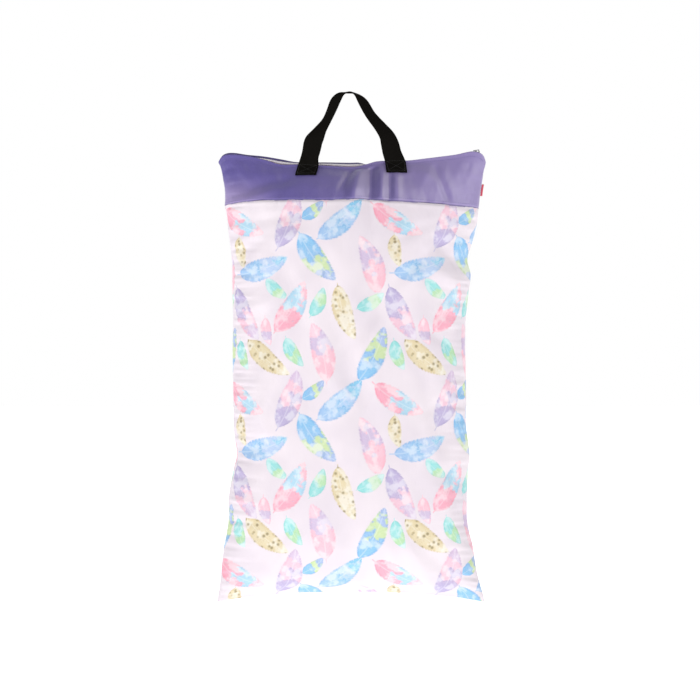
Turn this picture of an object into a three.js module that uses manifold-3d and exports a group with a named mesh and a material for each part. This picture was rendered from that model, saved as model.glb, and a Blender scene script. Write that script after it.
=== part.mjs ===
// A large zipped wet bag of waterproof cloth, filled and hung by its webbing handle.
// Millimetres, +Z up, +X to the right and -Y to the front. The origin is where a hook
// bears on the underside of the handle.
import * as THREE from "three";
import { mergeVertices } from "three/addons/utils/BufferGeometryUtils.js";
import Module from "manifold-3d";

const wasm = await Module();
wasm.setup();

// Driving sizes.
const clothWidth = 400; // flat width between the side seams
const wall = 1.6; // cloth with its waterproof backing
const sideWall = 2.6; // cloth and folded seam at the two sides
const bandRun = 60; // height that the plain band takes up in the middle
const pouchRun = 580; // height that the printed pouch takes up in the middle
const shoulderDepth = 60; // half the thickness at the seam under the band
const bellyDepth = 73; // half the thickness where the bag is fullest
const zipGap = 9; // half the width of the slit that holds the zip
const earRise = 19; // how far the top corners stand above the middle of the zip
const seamWave = 5; // how far the seam under the band wanders from level
const bottomLip = 8; // height of the seam that closes the bottom
const bottomThickness = 5.2; // cloth folded in the bottom seam
const foldDepth = 6; // depth of a main fold
const foldWidth = 11; // half width of a main fold
const pieceGap = 0.35; // air between neighbouring pieces

const handleRise = 107; // from the middle of the zip to the hook
const handleSpan = 136; // between the middles of the two sewn ends
const webbingWidth = 31;
const webbingThickness = 1.8;
const handleGap = 1.2; // from the smooth form of the band to the webbing sewn on it

const tapeThickness = 0.9;
const tapeSink = 4.5; // how deep the zip lies between the folded edges at most
const tapeMargin = 1.2; // from the wall of the slit to the edge of a tape
const teethMargin = 0.2; // more air under the teeth, where the tapes bend
const tapeSplit = 1.2; // slit between the two tapes
const wedgeSplit = 3.6; // the same slit where the slider's wedge holds it open
const chainWidth = 5;
const chainThickness = 1.8;
const zipStartInset = 14; // from the flat width's left end to the zip
const zipEndInset = 9.5; // from its right end
const sliderInset = 1.5; // from the zip's right end to the middle of the slider
const sliderLength = 9;
const sliderWidth = 7;
const plateThickness = 1.2;
const wedgeWidth = 2.4;
const wedgeLength = 1.6;
const bridgeHeight = 2.6; // inside, over the plate
const bridgeThickness = 1.2;
const bridgeWidth = 1.8;
const pullLength = 25;
const pullWidth = 6;
const pullNeck = 4.4; // width at the eye
const pullThickness = 1.2;
const pullRound = 1.6; // cut off the corners of its free end
const eyeLength = 5.1;
const eyeWidth = 2.6;
const pullDip = 5; // degrees that the pull leans down on to the teeth

const labelHeight = 16;
const labelReach = 4.4; // how far the side label stands out of the seam
const labelThickness = 1.1;
const labelTurn = 48; // degrees that it is turned to the back
const labelDrop = 23; // how far down the band it starts

const halfWidth = clothWidth / 2;
const zipStart = zipStartInset - halfWidth;
const zipEnd = halfWidth - zipEndInset;
const sliderPlace = zipEnd - sliderInset;
const zipLevel = -handleRise;
const seamLevel = zipLevel - bandRun;

// Sections of the band from the zip down to the seam. drop is a share of bandRun, sag says
// how much lower the sides lie, as a share of bandRun, left and right are shares of half
// the cloth width, depth is a share of the way from zipGap to shoulderDepth, and round is 1
// for an oval and less for a slit with square ends.
const BAND = [
  { drop: 0.0, sag: -0.03, left: 0.995, right: 1.012, depth: 0.0, round: 0.35 },
  { drop: 0.06, sag: 0.0, left: 0.98, right: 1.005, depth: 0.03, round: 0.4 },
  { drop: 0.16, sag: 0.05, left: 0.968, right: 0.993, depth: 0.17, round: 0.6 },
  { drop: 0.31, sag: 0.09, left: 0.958, right: 0.985, depth: 0.4, round: 0.82 },
  { drop: 0.48, sag: 0.11, left: 0.948, right: 0.974, depth: 0.6, round: 0.95 },
  { drop: 0.66, sag: 0.1, left: 0.945, right: 0.967, depth: 0.78, round: 1.02 },
  { drop: 0.84, sag: 0.07, left: 0.945, right: 0.962, depth: 0.91, round: 1.06 },
  { drop: 1.0, sag: 0.03, left: 0.948, right: 0.956, depth: 1.0, round: 1.08 },
];

// Sections of the pouch from the seam down to the bottom. drop and sag are shares of
// pouchRun, left and right of half the cloth width, and depth of bellyDepth.
const POUCH = [
  { drop: 0.0, sag: 0.003, left: 0.948, right: 0.956, depth: 0.822, round: 1.08 },
  { drop: 0.026, sag: 0.003, left: 0.93, right: 0.95, depth: 0.875, round: 1.1 },
  { drop: 0.065, sag: 0.003, left: 0.92, right: 0.93, depth: 0.93, round: 1.12 },
  { drop: 0.104, sag: 0.002, left: 0.905, right: 0.9, depth: 0.963, round: 1.12 },
  { drop: 0.142, sag: 0.001, left: 0.892, right: 0.873, depth: 0.983, round: 1.12 },
  { drop: 0.181, sag: 0.0, left: 0.89, right: 0.898, depth: 0.994, round: 1.12 },
  { drop: 0.22, sag: 0.0, left: 0.89, right: 0.884, depth: 1.0, round: 1.12 },
  { drop: 0.298, sag: 0.0, left: 0.884, right: 0.86, depth: 1.0, round: 1.12 },
  { drop: 0.375, sag: 0.0, left: 0.888, right: 0.857, depth: 1.0, round: 1.12 },
  { drop: 0.49, sag: 0.0, left: 0.882, right: 0.864, depth: 0.993, round: 1.12 },
  { drop: 0.57, sag: 0.0, left: 0.882, right: 0.863, depth: 0.983, round: 1.12 },
  { drop: 0.608, sag: 0.0, left: 0.87, right: 0.877, depth: 0.975, round: 1.12 },
  { drop: 0.647, sag: 0.0, left: 0.857, right: 0.89, depth: 0.963, round: 1.12 },
  { drop: 0.685, sag: 0.0, left: 0.883, right: 0.878, depth: 0.95, round: 1.12 },
  { drop: 0.763, sag: 0.0, left: 0.92, right: 0.87, depth: 0.908, round: 1.1 },
  { drop: 0.802, sag: 0.001, left: 0.916, right: 0.87, depth: 0.872, round: 1.08 },
  { drop: 0.841, sag: 0.002, left: 0.93, right: 0.885, depth: 0.815, round: 1.06 },
  { drop: 0.879, sag: 0.003, left: 0.952, right: 0.914, depth: 0.73, round: 1.02 },
  { drop: 0.918, sag: 0.006, left: 0.966, right: 0.932, depth: 0.6, round: 0.98 },
  { drop: 0.95, sag: 0.01, left: 0.976, right: 0.952, depth: 0.46, round: 0.92 },
  { drop: 0.975, sag: 0.015, left: 0.986, right: 0.975, depth: 0.3, round: 0.8 },
  { drop: 0.99, sag: 0.02, left: 0.996, right: 0.993, depth: 0.12, round: 0.5 },
  { drop: 1.0, sag: 0.026, left: 1.0, right: 1.0, depth: 0.036, round: 0.3 },
];

// The folded edges beside the zip. across is a share of the half width, front and back are
// shares of earRise above the line between the corners, and sink is a share of tapeSink.
const EDGE = [
  { across: -1.0, front: 0.06, back: 0.06, sink: 0.7 },
  { across: -0.97, front: 0.5, back: 0.64, sink: 0.7 },
  { across: -0.905, front: 0.66, back: 0.87, sink: 0.7 },
  { across: -0.78, front: 0.56, back: 0.74, sink: 0.65 },
  { across: -0.66, front: 0.31, back: 0.64, sink: 0.6 },
  { across: -0.53, front: -0.07, back: 0.43, sink: 0.5 },
  { across: -0.41, front: -0.07, back: 0.22, sink: 0.45 },
  { across: -0.2, front: -0.15, back: 0.21, sink: 0.4 },
  { across: 0.0, front: -0.25, back: 0.18, sink: 0.4 },
  { across: 0.06, front: -0.19, back: 0.19, sink: 0.45 },
  { across: 0.118, front: -0.03, back: 0.04, sink: 0.6 },
  { across: 0.185, front: 0.17, back: 0.05, sink: 0.75 },
  { across: 0.25, front: 0.22, back: 0.1, sink: 0.85 },
  { across: 0.42, front: 0.24, back: 0.16, sink: 0.95 },
  { across: 0.54, front: 0.375, back: 0.28, sink: 1.0 },
  { across: 0.66, front: 0.52, back: 0.42, sink: 1.0 },
  { across: 0.776, front: 0.67, back: 0.57, sink: 1.0 },
  { across: 0.88, front: 0.89, back: 0.81, sink: 0.7 },
  { across: 0.924, front: 0.87, back: 0.81, sink: 0.25 },
  { across: 0.975, front: 0.62, back: 0.56, sink: 0.1 },
  { across: 1.0, front: 0.05, back: 0.05, sink: 0.1 },
];

// The seam under the band. rise is a share of seamWave, upwards.
const SEAM = [
  { across: -1.0, rise: 0.0 },
  { across: -0.9, rise: 0.25 },
  { across: -0.75, rise: 0.5 },
  { across: -0.5, rise: 0.55 },
  { across: -0.2, rise: 0.3 },
  { across: 0.07, rise: 0.5 },
  { across: 0.25, rise: 0.25 },
  { across: 0.4, rise: 0.0 },
  { across: 0.55, rise: -0.3 },
  { across: 0.75, rise: -0.6 },
  { across: 0.9, rise: -0.8 },
  { across: 1.0, rise: -0.9 },
];

// Folds of the band. across and drop give the middle as shares of the half width and of
// bandRun, turn is the lean from upright in degrees, length is a share of bandRun, width
// and out are shares of foldWidth and foldDepth, and a groove has a negative out.
const BAND_FOLDS_FRONT = [
  { across: -0.02, drop: 0.3, turn: 27, length: 0.95, width: 0.5, out: -0.9 },
  { across: 0.04, drop: 0.5, turn: 12, length: 1.1, width: 0.85, out: 1.25 },
  { across: 0.15, drop: 0.55, turn: 5, length: 1.15, width: 0.7, out: -1.3 },
  { across: 0.232, drop: 0.62, turn: 2, length: 1.0, width: 0.5, out: 0.6 },
  { across: 0.292, drop: 0.66, turn: 0, length: 0.8, width: 0.36, out: -0.6 },
  { across: 0.352, drop: 0.66, turn: -3, length: 0.85, width: 0.5, out: 0.5 },
  { across: -0.62, drop: 0.5, turn: 76, length: 1.7, width: 0.9, out: -0.8 },
  { across: -0.84, drop: 0.25, turn: -38, length: 0.8, width: 0.7, out: 0.5 },
  { across: -0.78, drop: 0.86, turn: 80, length: 1.3, width: 1.0, out: 0.8 },
  { across: 0.7, drop: 0.56, turn: -31, length: 1.0, width: 0.5, out: -0.6 },
  { across: 0.6, drop: 0.35, turn: -62, length: 1.4, width: 0.9, out: 0.4 },
];
const BAND_FOLDS_BACK = [
  { across: -0.42, drop: 0.5, turn: -24, length: 1.0, width: 0.8, out: -0.8 },
  { across: -0.3, drop: 0.55, turn: -16, length: 1.0, width: 0.9, out: 0.6 },
  { across: 0.2, drop: 0.55, turn: 20, length: 1.1, width: 0.8, out: -0.7 },
  { across: 0.62, drop: 0.45, turn: 58, length: 1.2, width: 0.9, out: -0.5 },
];

// Folds of the pouch, as for the band but with drop and length as shares of pouchRun.
const POUCH_FOLDS_FRONT = [
  { across: -0.86, drop: 0.12, turn: 62, length: 0.12, width: 0.9, out: -0.6 },
  { across: -0.84, drop: 0.27, turn: 70, length: 0.12, width: 0.9, out: 0.5 },
  { across: 0.82, drop: 0.13, turn: -52, length: 0.16, width: 1.0, out: -0.8 },
  { across: 0.84, drop: 0.2, turn: -66, length: 0.14, width: 1.1, out: 0.7 },
  { across: 0.2, drop: 0.1, turn: 6, length: 0.3, width: 1.8, out: -0.5 },
  { across: -0.34, drop: 0.3, turn: 8, length: 0.5, width: 3.0, out: -0.5 },
  { across: 0.42, drop: 0.45, turn: -6, length: 0.5, width: 3.2, out: -0.45 },
  { across: -0.84, drop: 0.62, turn: 74, length: 0.1, width: 1.0, out: -0.7 },
  { across: 0.84, drop: 0.7, turn: -72, length: 0.12, width: 1.0, out: -0.5 },
  { across: -0.6, drop: 0.87, turn: 40, length: 0.14, width: 1.3, out: -0.5 },
  { across: 0.6, drop: 0.88, turn: -42, length: 0.14, width: 1.3, out: -0.5 },
];
const POUCH_FOLDS_BACK = [
  { across: 0.3, drop: 0.2, turn: -8, length: 0.4, width: 2.6, out: -0.6 },
  { across: -0.36, drop: 0.45, turn: 6, length: 0.5, width: 3.0, out: -0.5 },
  { across: 0.84, drop: 0.4, turn: 68, length: 0.12, width: 1.0, out: -0.6 },
  { across: -0.84, drop: 0.72, turn: -68, length: 0.12, width: 1.0, out: -0.6 },
];

// The free part of the handle from left to right. across is a share of half handleSpan,
// drop a share of handleRise below the hook, and turn says how far the webbing has turned
// from facing the front to facing up, in degrees.
const STRAP = [
  { across: -0.914, drop: 0.92, turn: 35 },
  { across: -0.861, drop: 0.79, turn: 30 },
  { across: -0.832, drop: 0.69, turn: 27 },
  { across: -0.771, drop: 0.625, turn: 36 },
  { across: -0.682, drop: 0.527, turn: 52 },
  { across: -0.534, drop: 0.384, turn: 63 },
  { across: -0.419, drop: 0.227, turn: 62 },
  { across: -0.338, drop: 0.098, turn: 60 },
  { across: -0.225, drop: 0.01, turn: 69 },
  { across: -0.115, drop: -0.0075, turn: 81 },
  { across: 0.0, drop: -0.0085, turn: 88 },
  { across: 0.12, drop: 0.016, turn: 76 },
  { across: 0.252, drop: 0.11, turn: 62 },
  { across: 0.424, drop: 0.3, turn: 59 },
  { across: 0.65, drop: 0.48, turn: 52 },
  { across: 0.797, drop: 0.61, turn: 41 },
  { across: 0.858, drop: 0.725, turn: 30 },
  { across: 0.903, drop: 0.86, turn: 27 },
];
// The sewn ends. across is a share of half handleSpan at the cut end and at the zip's
// edge, and reach is the share of bandRun that the end covers.
const SEWN = {
  left: { cut: -0.991, edge: -0.931, reach: 0.305 },
  right: { cut: 0.995, edge: 0.973, reach: 0.29 },
};

const stiffHem = 0.18; // share of the band in which the folds die out at the zip
const foldCarry = 0.07; // share of the pouch down which the band's folds die out
const stiffSeam = 0.03; // share of the pouch in which they die out at the bottom
const foldTaper = 8; // power of the share across by which folds die out at the sides
const sagPower = 2.5; // power of the share across by which the sides sag
const seamEase = 0.05; // share of the pouch in which its depth comes up to the band's

// Mesh densities.
const bandColumns = 44;
const bandRows = 8;
const pouchColumns = 34;
const pouchRows = 22;
const innerRows = 15;
const strapColumns = 4;
const strapSteps = 44;
const sewnRows = 4;
const zipSteps = 30;
const zipReach = 1.5; // half the stretch over which the zip's direction is taken, in mm
const labelSteps = 3;
const bandCrowding = 1.35; // over 1 sets the band's rows closer at the zip
const pouchCrowding = 1.25; // over 1 sets the pouch's rows closer at the bottom
const evenShare = 0.3; // how evenly the columns spread, where 0 crowds them at the sides

// A smooth curve through one column of a table.
function smooth(table, key, column, at) {
  const last = table.length - 1;
  const x = Math.min(Math.max(at, table[0][key]), table[last][key]);
  let i = 0;
  while (i < last - 1 && x > table[i + 1][key]) i += 1;
  const slope = (j) => {
    const a = table[Math.max(j - 1, 0)];
    const b = table[Math.min(j + 1, last)];
    return (b[column] - a[column]) / (b[key] - a[key]);
  };
  const span = table[i + 1][key] - table[i][key];
  const t = (x - table[i][key]) / span;
  const from = table[i][column];
  const to = table[i + 1][column];
  return (
    from * (1 + 2 * t) * (1 - t) ** 2 +
    to * t * t * (3 - 2 * t) +
    slope(i) * span * t * (1 - t) ** 2 -
    slope(i + 1) * span * t * t * (1 - t)
  );
}

// The outward push of the folds at x and at a drop below the piece's top, both in mm.
function foldPush(folds, x, drop, run) {
  let push = 0;
  for (const fold of folds) {
    const dx = x - fold.across * halfWidth;
    const dz = drop - fold.drop * run;
    const lean = THREE.MathUtils.degToRad(fold.turn);
    const along = dz * Math.cos(lean) - dx * Math.sin(lean);
    const beside = dz * Math.sin(lean) + dx * Math.cos(lean);
    const reach = (2 * along) / (fold.length * run);
    const spread = beside / (fold.width * foldWidth);
    push += fold.out * foldDepth * Math.exp(-(spread ** 2) - reach ** 4);
  }
  return push;
}

// One section of the band or of the pouch, in mm. share runs from 0 at its top to 1.
function bandSection(share) {
  const pick = (column) => smooth(BAND, "drop", column, share);
  return {
    level: zipLevel - share * bandRun,
    drop: share * bandRun,
    run: bandRun,
    sag: pick("sag") * bandRun,
    left: pick("left") * halfWidth,
    right: pick("right") * halfWidth,
    depth: zipGap + pick("depth") * (shoulderDepth - zipGap),
    round: pick("round"),
    edge: (1 - share) ** 2,
    seam: share ** 2,
    fade: THREE.MathUtils.smoothstep(share, stiffHem / 3, stiffHem),
    folds: { front: BAND_FOLDS_FRONT, back: BAND_FOLDS_BACK },
    carried: 0,
  };
}

function pouchSection(share) {
  const pick = (column) => smooth(POUCH, "drop", column, share);
  const ease = Math.max(0, 1 - share / seamEase);
  const meet = shoulderDepth - POUCH[0].depth * bellyDepth;
  return {
    level: seamLevel - pieceGap - share * pouchRun,
    drop: share * pouchRun,
    run: pouchRun,
    sag: pick("sag") * pouchRun,
    left: pick("left") * halfWidth,
    right: pick("right") * halfWidth,
    depth: Math.max(pick("depth") * bellyDepth + meet * ease, bottomThickness / 2),
    round: pick("round"),
    edge: 0,
    seam: Math.exp(-((share / foldCarry) ** 2)),
    fade: Math.min(1, (1 - share) / stiffSeam),
    folds: { front: POUCH_FOLDS_FRONT, back: POUCH_FOLDS_BACK },
    carried: Math.exp(-((share / foldCarry) ** 2)),
  };
}

// A point of a section. share is -1 at the left seam and 1 at the right one.
function onSection(section, face, share, inner) {
  const front = face === "front";
  const half = (share < 0 ? section.left : section.right) - (inner ? sideWall : 0);
  const depth = inner ? Math.max(section.depth - wall, 0.5) : section.depth;
  const upright = Math.sqrt(Math.max(0, 1 - share * share));
  const bulge = depth * upright ** section.round;
  const rise = section.edge ? smooth(EDGE, "across", face, share) * earRise : 0;
  const wave = smooth(SEAM, "across", "rise", share) * seamWave;
  const taper = (1 - share ** foldTaper) * section.fade;
  const x = share * halfWidth;
  const above = front ? BAND_FOLDS_FRONT : BAND_FOLDS_BACK;
  const own = foldPush(section.folds[face], x, section.drop, section.run);
  const carried = section.carried && foldPush(above, x, bandRun, bandRun);
  const push = (own + section.carried * carried) * taper;
  const aside = (depth * share) / half;
  const long = Math.hypot(aside, upright) || 1;
  return new THREE.Vector3(
    share * half + (push * aside) / long,
    (front ? -1 : 1) * (bulge + (push * upright) / long),
    section.level -
      section.sag * Math.abs(share) ** sagPower +
      rise * section.edge +
      wave * section.seam,
  );
}

// The points round a section, left to right along the front and back again.
function ring(section, columns, inner) {
  const shareOf = (i) => {
    const even = (2 * i) / columns - 1;
    return (1 - evenShare) * Math.sin((Math.PI * even) / 2) + evenShare * even;
  };
  const points = [];
  for (let i = 0; i <= columns; i += 1) {
    points.push(onSection(section, "front", shareOf(i), inner));
  }
  for (let i = columns - 1; i > 0; i -= 1) {
    points.push(onSection(section, "back", shareOf(i), inner));
  }
  return points;
}

// Collects triangles from points, and makes a geometry of them.
class Skin {
  constructor() {
    this.positions = [];
  }

  triangle(a, b, c) {
    this.positions.push(...a.toArray(), ...b.toArray(), ...c.toArray());
  }

  quad(a, b, c, d) {
    this.triangle(a, b, c);
    this.triangle(a, c, d);
  }

  // Joins two closed rings of as many points.
  sleeve(upper, lower) {
    upper.forEach((point, i) => {
      const next = (i + 1) % upper.length;
      this.quad(lower[i], lower[next], upper[next], point);
    });
  }

  // Closes a ring by rungs from its front to its back.
  ladder(points, up) {
    const n = points.length;
    for (let i = 0; i < n / 2; i += 1) {
      const a = points[i];
      const b = points[i + 1];
      const c = points[(n - i - 1) % n];
      const d = points[(n - i) % n];
      const corners = [a, b, c, d].filter((p, j, all) => p !== all[(j + 1) % all.length]);
      for (let j = 1; j + 1 < corners.length; j += 1) {
        if (up) this.triangle(corners[0], corners[j], corners[j + 1]);
        else this.triangle(corners[0], corners[j + 1], corners[j]);
      }
    }
  }

  geometry() {
    const made = new THREE.BufferGeometry();
    made.setAttribute("position", new THREE.Float32BufferAttribute(this.positions, 3));
    made.computeVertexNormals();
    return made;
  }
}

// The plain band: a sleeve of cloth that is open at the zip and at the seam.
function bandGeometry() {
  const skin = new Skin();
  const outer = [];
  const inner = [];
  for (let row = 0; row <= bandRows; row += 1) {
    const section = bandSection((row / bandRows) ** bandCrowding);
    outer.push(ring(section, bandColumns, false));
    inner.push(ring(section, bandColumns, true));
  }
  for (let row = 0; row < bandRows; row += 1) {
    skin.sleeve(outer[row], outer[row + 1]);
    skin.sleeve(inner[row + 1], inner[row]);
  }
  skin.sleeve(inner[0], outer[0]);
  skin.sleeve(outer[bandRows], inner[bandRows]);
  return skin.geometry();
}

// The printed pouch: open at the top, and closed by a flat seam at the bottom.
function pouchGeometry() {
  const skin = new Skin();
  const outer = [];
  const inner = [];
  const crowd = (t) => 1 - (1 - t) ** pouchCrowding;
  for (let row = 0; row <= pouchRows; row += 1) {
    outer.push(ring(pouchSection(crowd(row / pouchRows)), pouchColumns, false));
  }
  const floor = 1 - bottomLip / pouchRun;
  for (let row = 0; row <= innerRows; row += 1) {
    const section = pouchSection(crowd(row / innerRows) * floor);
    inner.push(ring(section, pouchColumns, true));
  }
  for (let row = 0; row < pouchRows; row += 1) {
    skin.sleeve(outer[row], outer[row + 1]);
  }
  for (let row = 0; row < innerRows; row += 1) {
    skin.sleeve(inner[row + 1], inner[row]);
  }
  skin.sleeve(inner[0], outer[0]);
  skin.ladder(outer[pouchRows], false);
  skin.ladder(inner[innerRows], true);
  return skin.geometry();
}

// A strip of cloth of even thickness round a grid of points.
function slab(grid, thickness) {
  const rows = grid.length;
  const columns = grid[0].length;
  const clampTo = (i, n) => Math.min(Math.max(i, 0), n - 1);
  const sides = [1, -1].map((side) =>
    grid.map((line, r) =>
      line.map((point, c) => {
        const along = grid[clampTo(r + 1, rows)][c]
          .clone()
          .sub(grid[clampTo(r - 1, rows)][c]);
        const across = line[clampTo(c + 1, columns)]
          .clone()
          .sub(line[clampTo(c - 1, columns)]);
        const normal = across.cross(along).normalize();
        return point.clone().addScaledVector(normal, (side * thickness) / 2);
      }),
    ),
  );
  const [over, under] = sides;
  const skin = new Skin();
  for (let r = 0; r + 1 < rows; r += 1) {
    for (let c = 0; c + 1 < columns; c += 1) {
      skin.quad(over[r][c], over[r][c + 1], over[r + 1][c + 1], over[r + 1][c]);
      skin.quad(under[r][c], under[r + 1][c], under[r + 1][c + 1], under[r][c + 1]);
    }
    const end = columns - 1;
    skin.quad(over[r][0], over[r + 1][0], under[r + 1][0], under[r][0]);
    skin.quad(over[r][end], under[r][end], under[r + 1][end], over[r + 1][end]);
  }
  for (let c = 0; c + 1 < columns; c += 1) {
    const end = rows - 1;
    skin.quad(over[0][c], under[0][c], under[0][c + 1], over[0][c + 1]);
    skin.quad(over[end][c], over[end][c + 1], under[end][c + 1], under[end][c]);
  }
  return skin.geometry();
}

// A point on the front of the band, lifted off the cloth. share runs down the band.
function onBand(x, share, lift) {
  const section = bandSection(share);
  const at = (dx, dv) => {
    const near = dv ? bandSection(Math.max(share + dv, 0)) : section;
    const half = x + dx < 0 ? near.left : near.right;
    return onSection(near, "front", (x + dx) / half, false);
  };
  const here = at(0, 0);
  const across = at(2, 0).sub(at(-2, 0));
  const down = at(0, 0.03).sub(here);
  const normal = down.cross(across).normalize();
  if (normal.y > 0) normal.negate();
  return here.addScaledVector(normal, lift);
}

// The handle: one length of webbing, sewn flat to the band at both ends, that turns to
// lie over the hook.
function handleGeometry() {
  const lift = webbingThickness / 2 + handleGap;
  const columnOffsets = [];
  for (let c = 0; c <= strapColumns; c += 1) {
    columnOffsets.push((c / strapColumns - 0.5) * webbingWidth);
  }
  const sewn = (end, side) => {
    const rows = [];
    for (let r = 0; r <= sewnRows; r += 1) {
      const t = r / sewnRows;
      const middle = (THREE.MathUtils.lerp(end.cut, end.edge, t) * handleSpan) / 2;
      const share = end.reach * (1 - t);
      rows.push(columnOffsets.map((w) => onBand(middle + side * w, share, lift)));
    }
    return rows;
  };
  const leftRows = sewn(SEWN.left, 1);
  const rightRows = sewn(SEWN.right, -1).reverse();
  const edgeDepth = leftRows[sewnRows][strapColumns / 2].y;
  const first = STRAP[0].drop;
  const stations = STRAP.map((row) => {
    const lean = Math.max(0, row.drop) / first;
    return new THREE.Vector3(
      (row.across * handleSpan) / 2,
      edgeDepth * lean,
      -row.drop * handleRise,
    );
  });
  const route = new THREE.CatmullRomCurve3(stations, false, "centripetal");
  const turns = STRAP.map((row, i) => ({ i, turn: row.turn }));
  const free = [];
  for (let step = 0; step <= strapSteps; step += 1) {
    const t = step / strapSteps;
    const middle = route.getPoint(t);
    const along = route.getTangent(t);
    const turn = smooth(turns, "i", "turn", t * (STRAP.length - 1));
    const lean = THREE.MathUtils.degToRad(turn);
    const width = new THREE.Vector3(along.z, 0, -along.x)
      .setLength(Math.cos(lean))
      .setY(-Math.sin(lean));
    free.push(columnOffsets.map((w) => middle.clone().addScaledVector(width, w)));
  }
  return slab([...leftRows, ...free, ...rightRows], webbingThickness);
}

// A point on the inner wall of the slit, as deep as the zip lies there.
function slitWall(x, face) {
  const sink = smooth(EDGE, "across", "sink", x / halfWidth) * tapeSink;
  const section = bandSection(sink / bandRun);
  const half = (x < 0 ? section.left : section.right) - sideWall;
  return onSection(section, face, x / half, true);
}

function slitMiddle(x) {
  return slitWall(x, "front").add(slitWall(x, "back")).multiplyScalar(0.5);
}

// The zip's directions at x: along it, across it to the back, and up from the tapes.
function zipFrame(x) {
  const across = slitWall(x, "back").sub(slitWall(x, "front"));
  const width = across.length();
  across.normalize();
  const along = slitMiddle(x + zipReach).sub(slitMiddle(x - zipReach)).normalize();
  const up = along.clone().cross(across).normalize();
  return { middle: slitMiddle(x), along, across, up, width };
}

// A place on the zip. aside is measured from its middle towards the back, and lift from the
// middle of the tape upwards.
function onZip(frame, aside, lift) {
  return frame.middle
    .clone()
    .addScaledVector(frame.across, aside)
    .addScaledVector(frame.up, lift);
}

const zipPitch = (zipEnd - zipStart) / zipSteps;
const zipFrames = [];
for (let i = 0; i <= zipSteps; i += 1) {
  zipFrames.push(zipFrame(zipStart + i * zipPitch));
}

// One of the two tapes. side is -1 for the front one and 1 for the back one.
function tapeGeometry(side) {
  const grid = zipFrames.map((frame) => {
    const away = (frame.middle.x - sliderPlace) / sliderLength;
    const nearSlider = Math.exp(-(away ** 2));
    const inner = (tapeSplit + (wedgeSplit - tapeSplit) * nearSlider) / 2;
    const outer = frame.width / 2 - tapeMargin;
    return [inner, (inner + outer) / 2, outer].map((v) => onZip(frame, side * v, 0));
  });
  return slab(side > 0 ? grid.map((row) => row.reverse()) : grid, tapeThickness);
}

const teethTop = tapeThickness / 2 + pieceGap + teethMargin + chainThickness;

// The closed teeth, which end under the slider.
function teethGeometry() {
  const lift = teethTop - chainThickness / 2;
  const row = (frame) =>
    [1, -1].map((side) => onZip(frame, (side * chainWidth) / 2, lift));
  const end = zipSteps - 1;
  const grid = zipFrames.slice(0, end + 1).map(row);
  const last = row(zipFrames[zipSteps]);
  const reach = (sliderPlace - 1 - zipFrames[end].middle.x) / zipPitch;
  grid.push(grid[end].map((point, i) => point.clone().lerp(last[i], reach)));
  return slab(grid, chainThickness);
}

// Local frame of the slider: X along the zip to the right, Y to the back, Z up from the
// middle of the tape.
const [before, after] = zipFrames.slice(-2);
const sliderAlong = after.middle.clone().sub(before.middle).normalize();
const sliderUp = sliderAlong.clone().cross(after.across).normalize();
const sliderAcross = sliderUp.clone().cross(sliderAlong);
const sliderMatrix = new THREE.Matrix4()
  .makeBasis(sliderAlong, sliderAcross, sliderUp)
  .setPosition(
    before.middle.clone().lerp(after.middle, (sliderPlace - before.middle.x) / zipPitch),
  );
const plateTop = teethTop + pieceGap + plateThickness;
const rimLevel = plateTop + bridgeHeight / 2;

// A closed body of a geometry, for joining.
function solidOf(geometry) {
  const bare = geometry.clone();
  bare.deleteAttribute("normal");
  bare.deleteAttribute("uv");
  const merged = mergeVertices(bare);
  return new wasm.Manifold(
    new wasm.Mesh({
      numProp: 3,
      vertProperties: merged.attributes.position.array,
      triVerts: new Uint32Array(merged.index.array),
    }),
  );
}

function block(x0, x1, width, z0, z1) {
  const box = new THREE.BoxGeometry(x1 - x0, width, z1 - z0);
  return solidOf(box.translate((x0 + x1) / 2, 0, (z0 + z1) / 2));
}

function geometryOf(solid) {
  const mesh = solid.getMesh();
  const made = new THREE.BufferGeometry();
  const positions = [];
  mesh.triVerts.forEach((vertex) => {
    const at = vertex * mesh.numProp;
    positions.push(...mesh.vertProperties.slice(at, at + 3));
  });
  made.setAttribute("position", new THREE.Float32BufferAttribute(positions, 3));
  made.computeVertexNormals();
  return made;
}

function sliderGeometry() {
  const end = sliderLength / 2;
  const low = -tapeThickness / 2 - pieceGap;
  const barTop = plateTop + bridgeHeight + bridgeThickness;
  const solid = wasm.Manifold.union([
    block(-end, end, sliderWidth, plateTop - plateThickness, plateTop),
    block(-end, end, sliderWidth, low - plateThickness, low),
    block(end - wedgeLength, end, wedgeWidth, low - plateThickness, plateTop),
    block(-end, -end + bridgeThickness, bridgeWidth, plateTop, barTop),
    block(end - bridgeThickness, end, bridgeWidth, plateTop, barTop),
    block(-end, end, bridgeWidth, barTop - bridgeThickness, barTop),
  ]);
  return geometryOf(solid).applyMatrix4(sliderMatrix);
}

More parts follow.
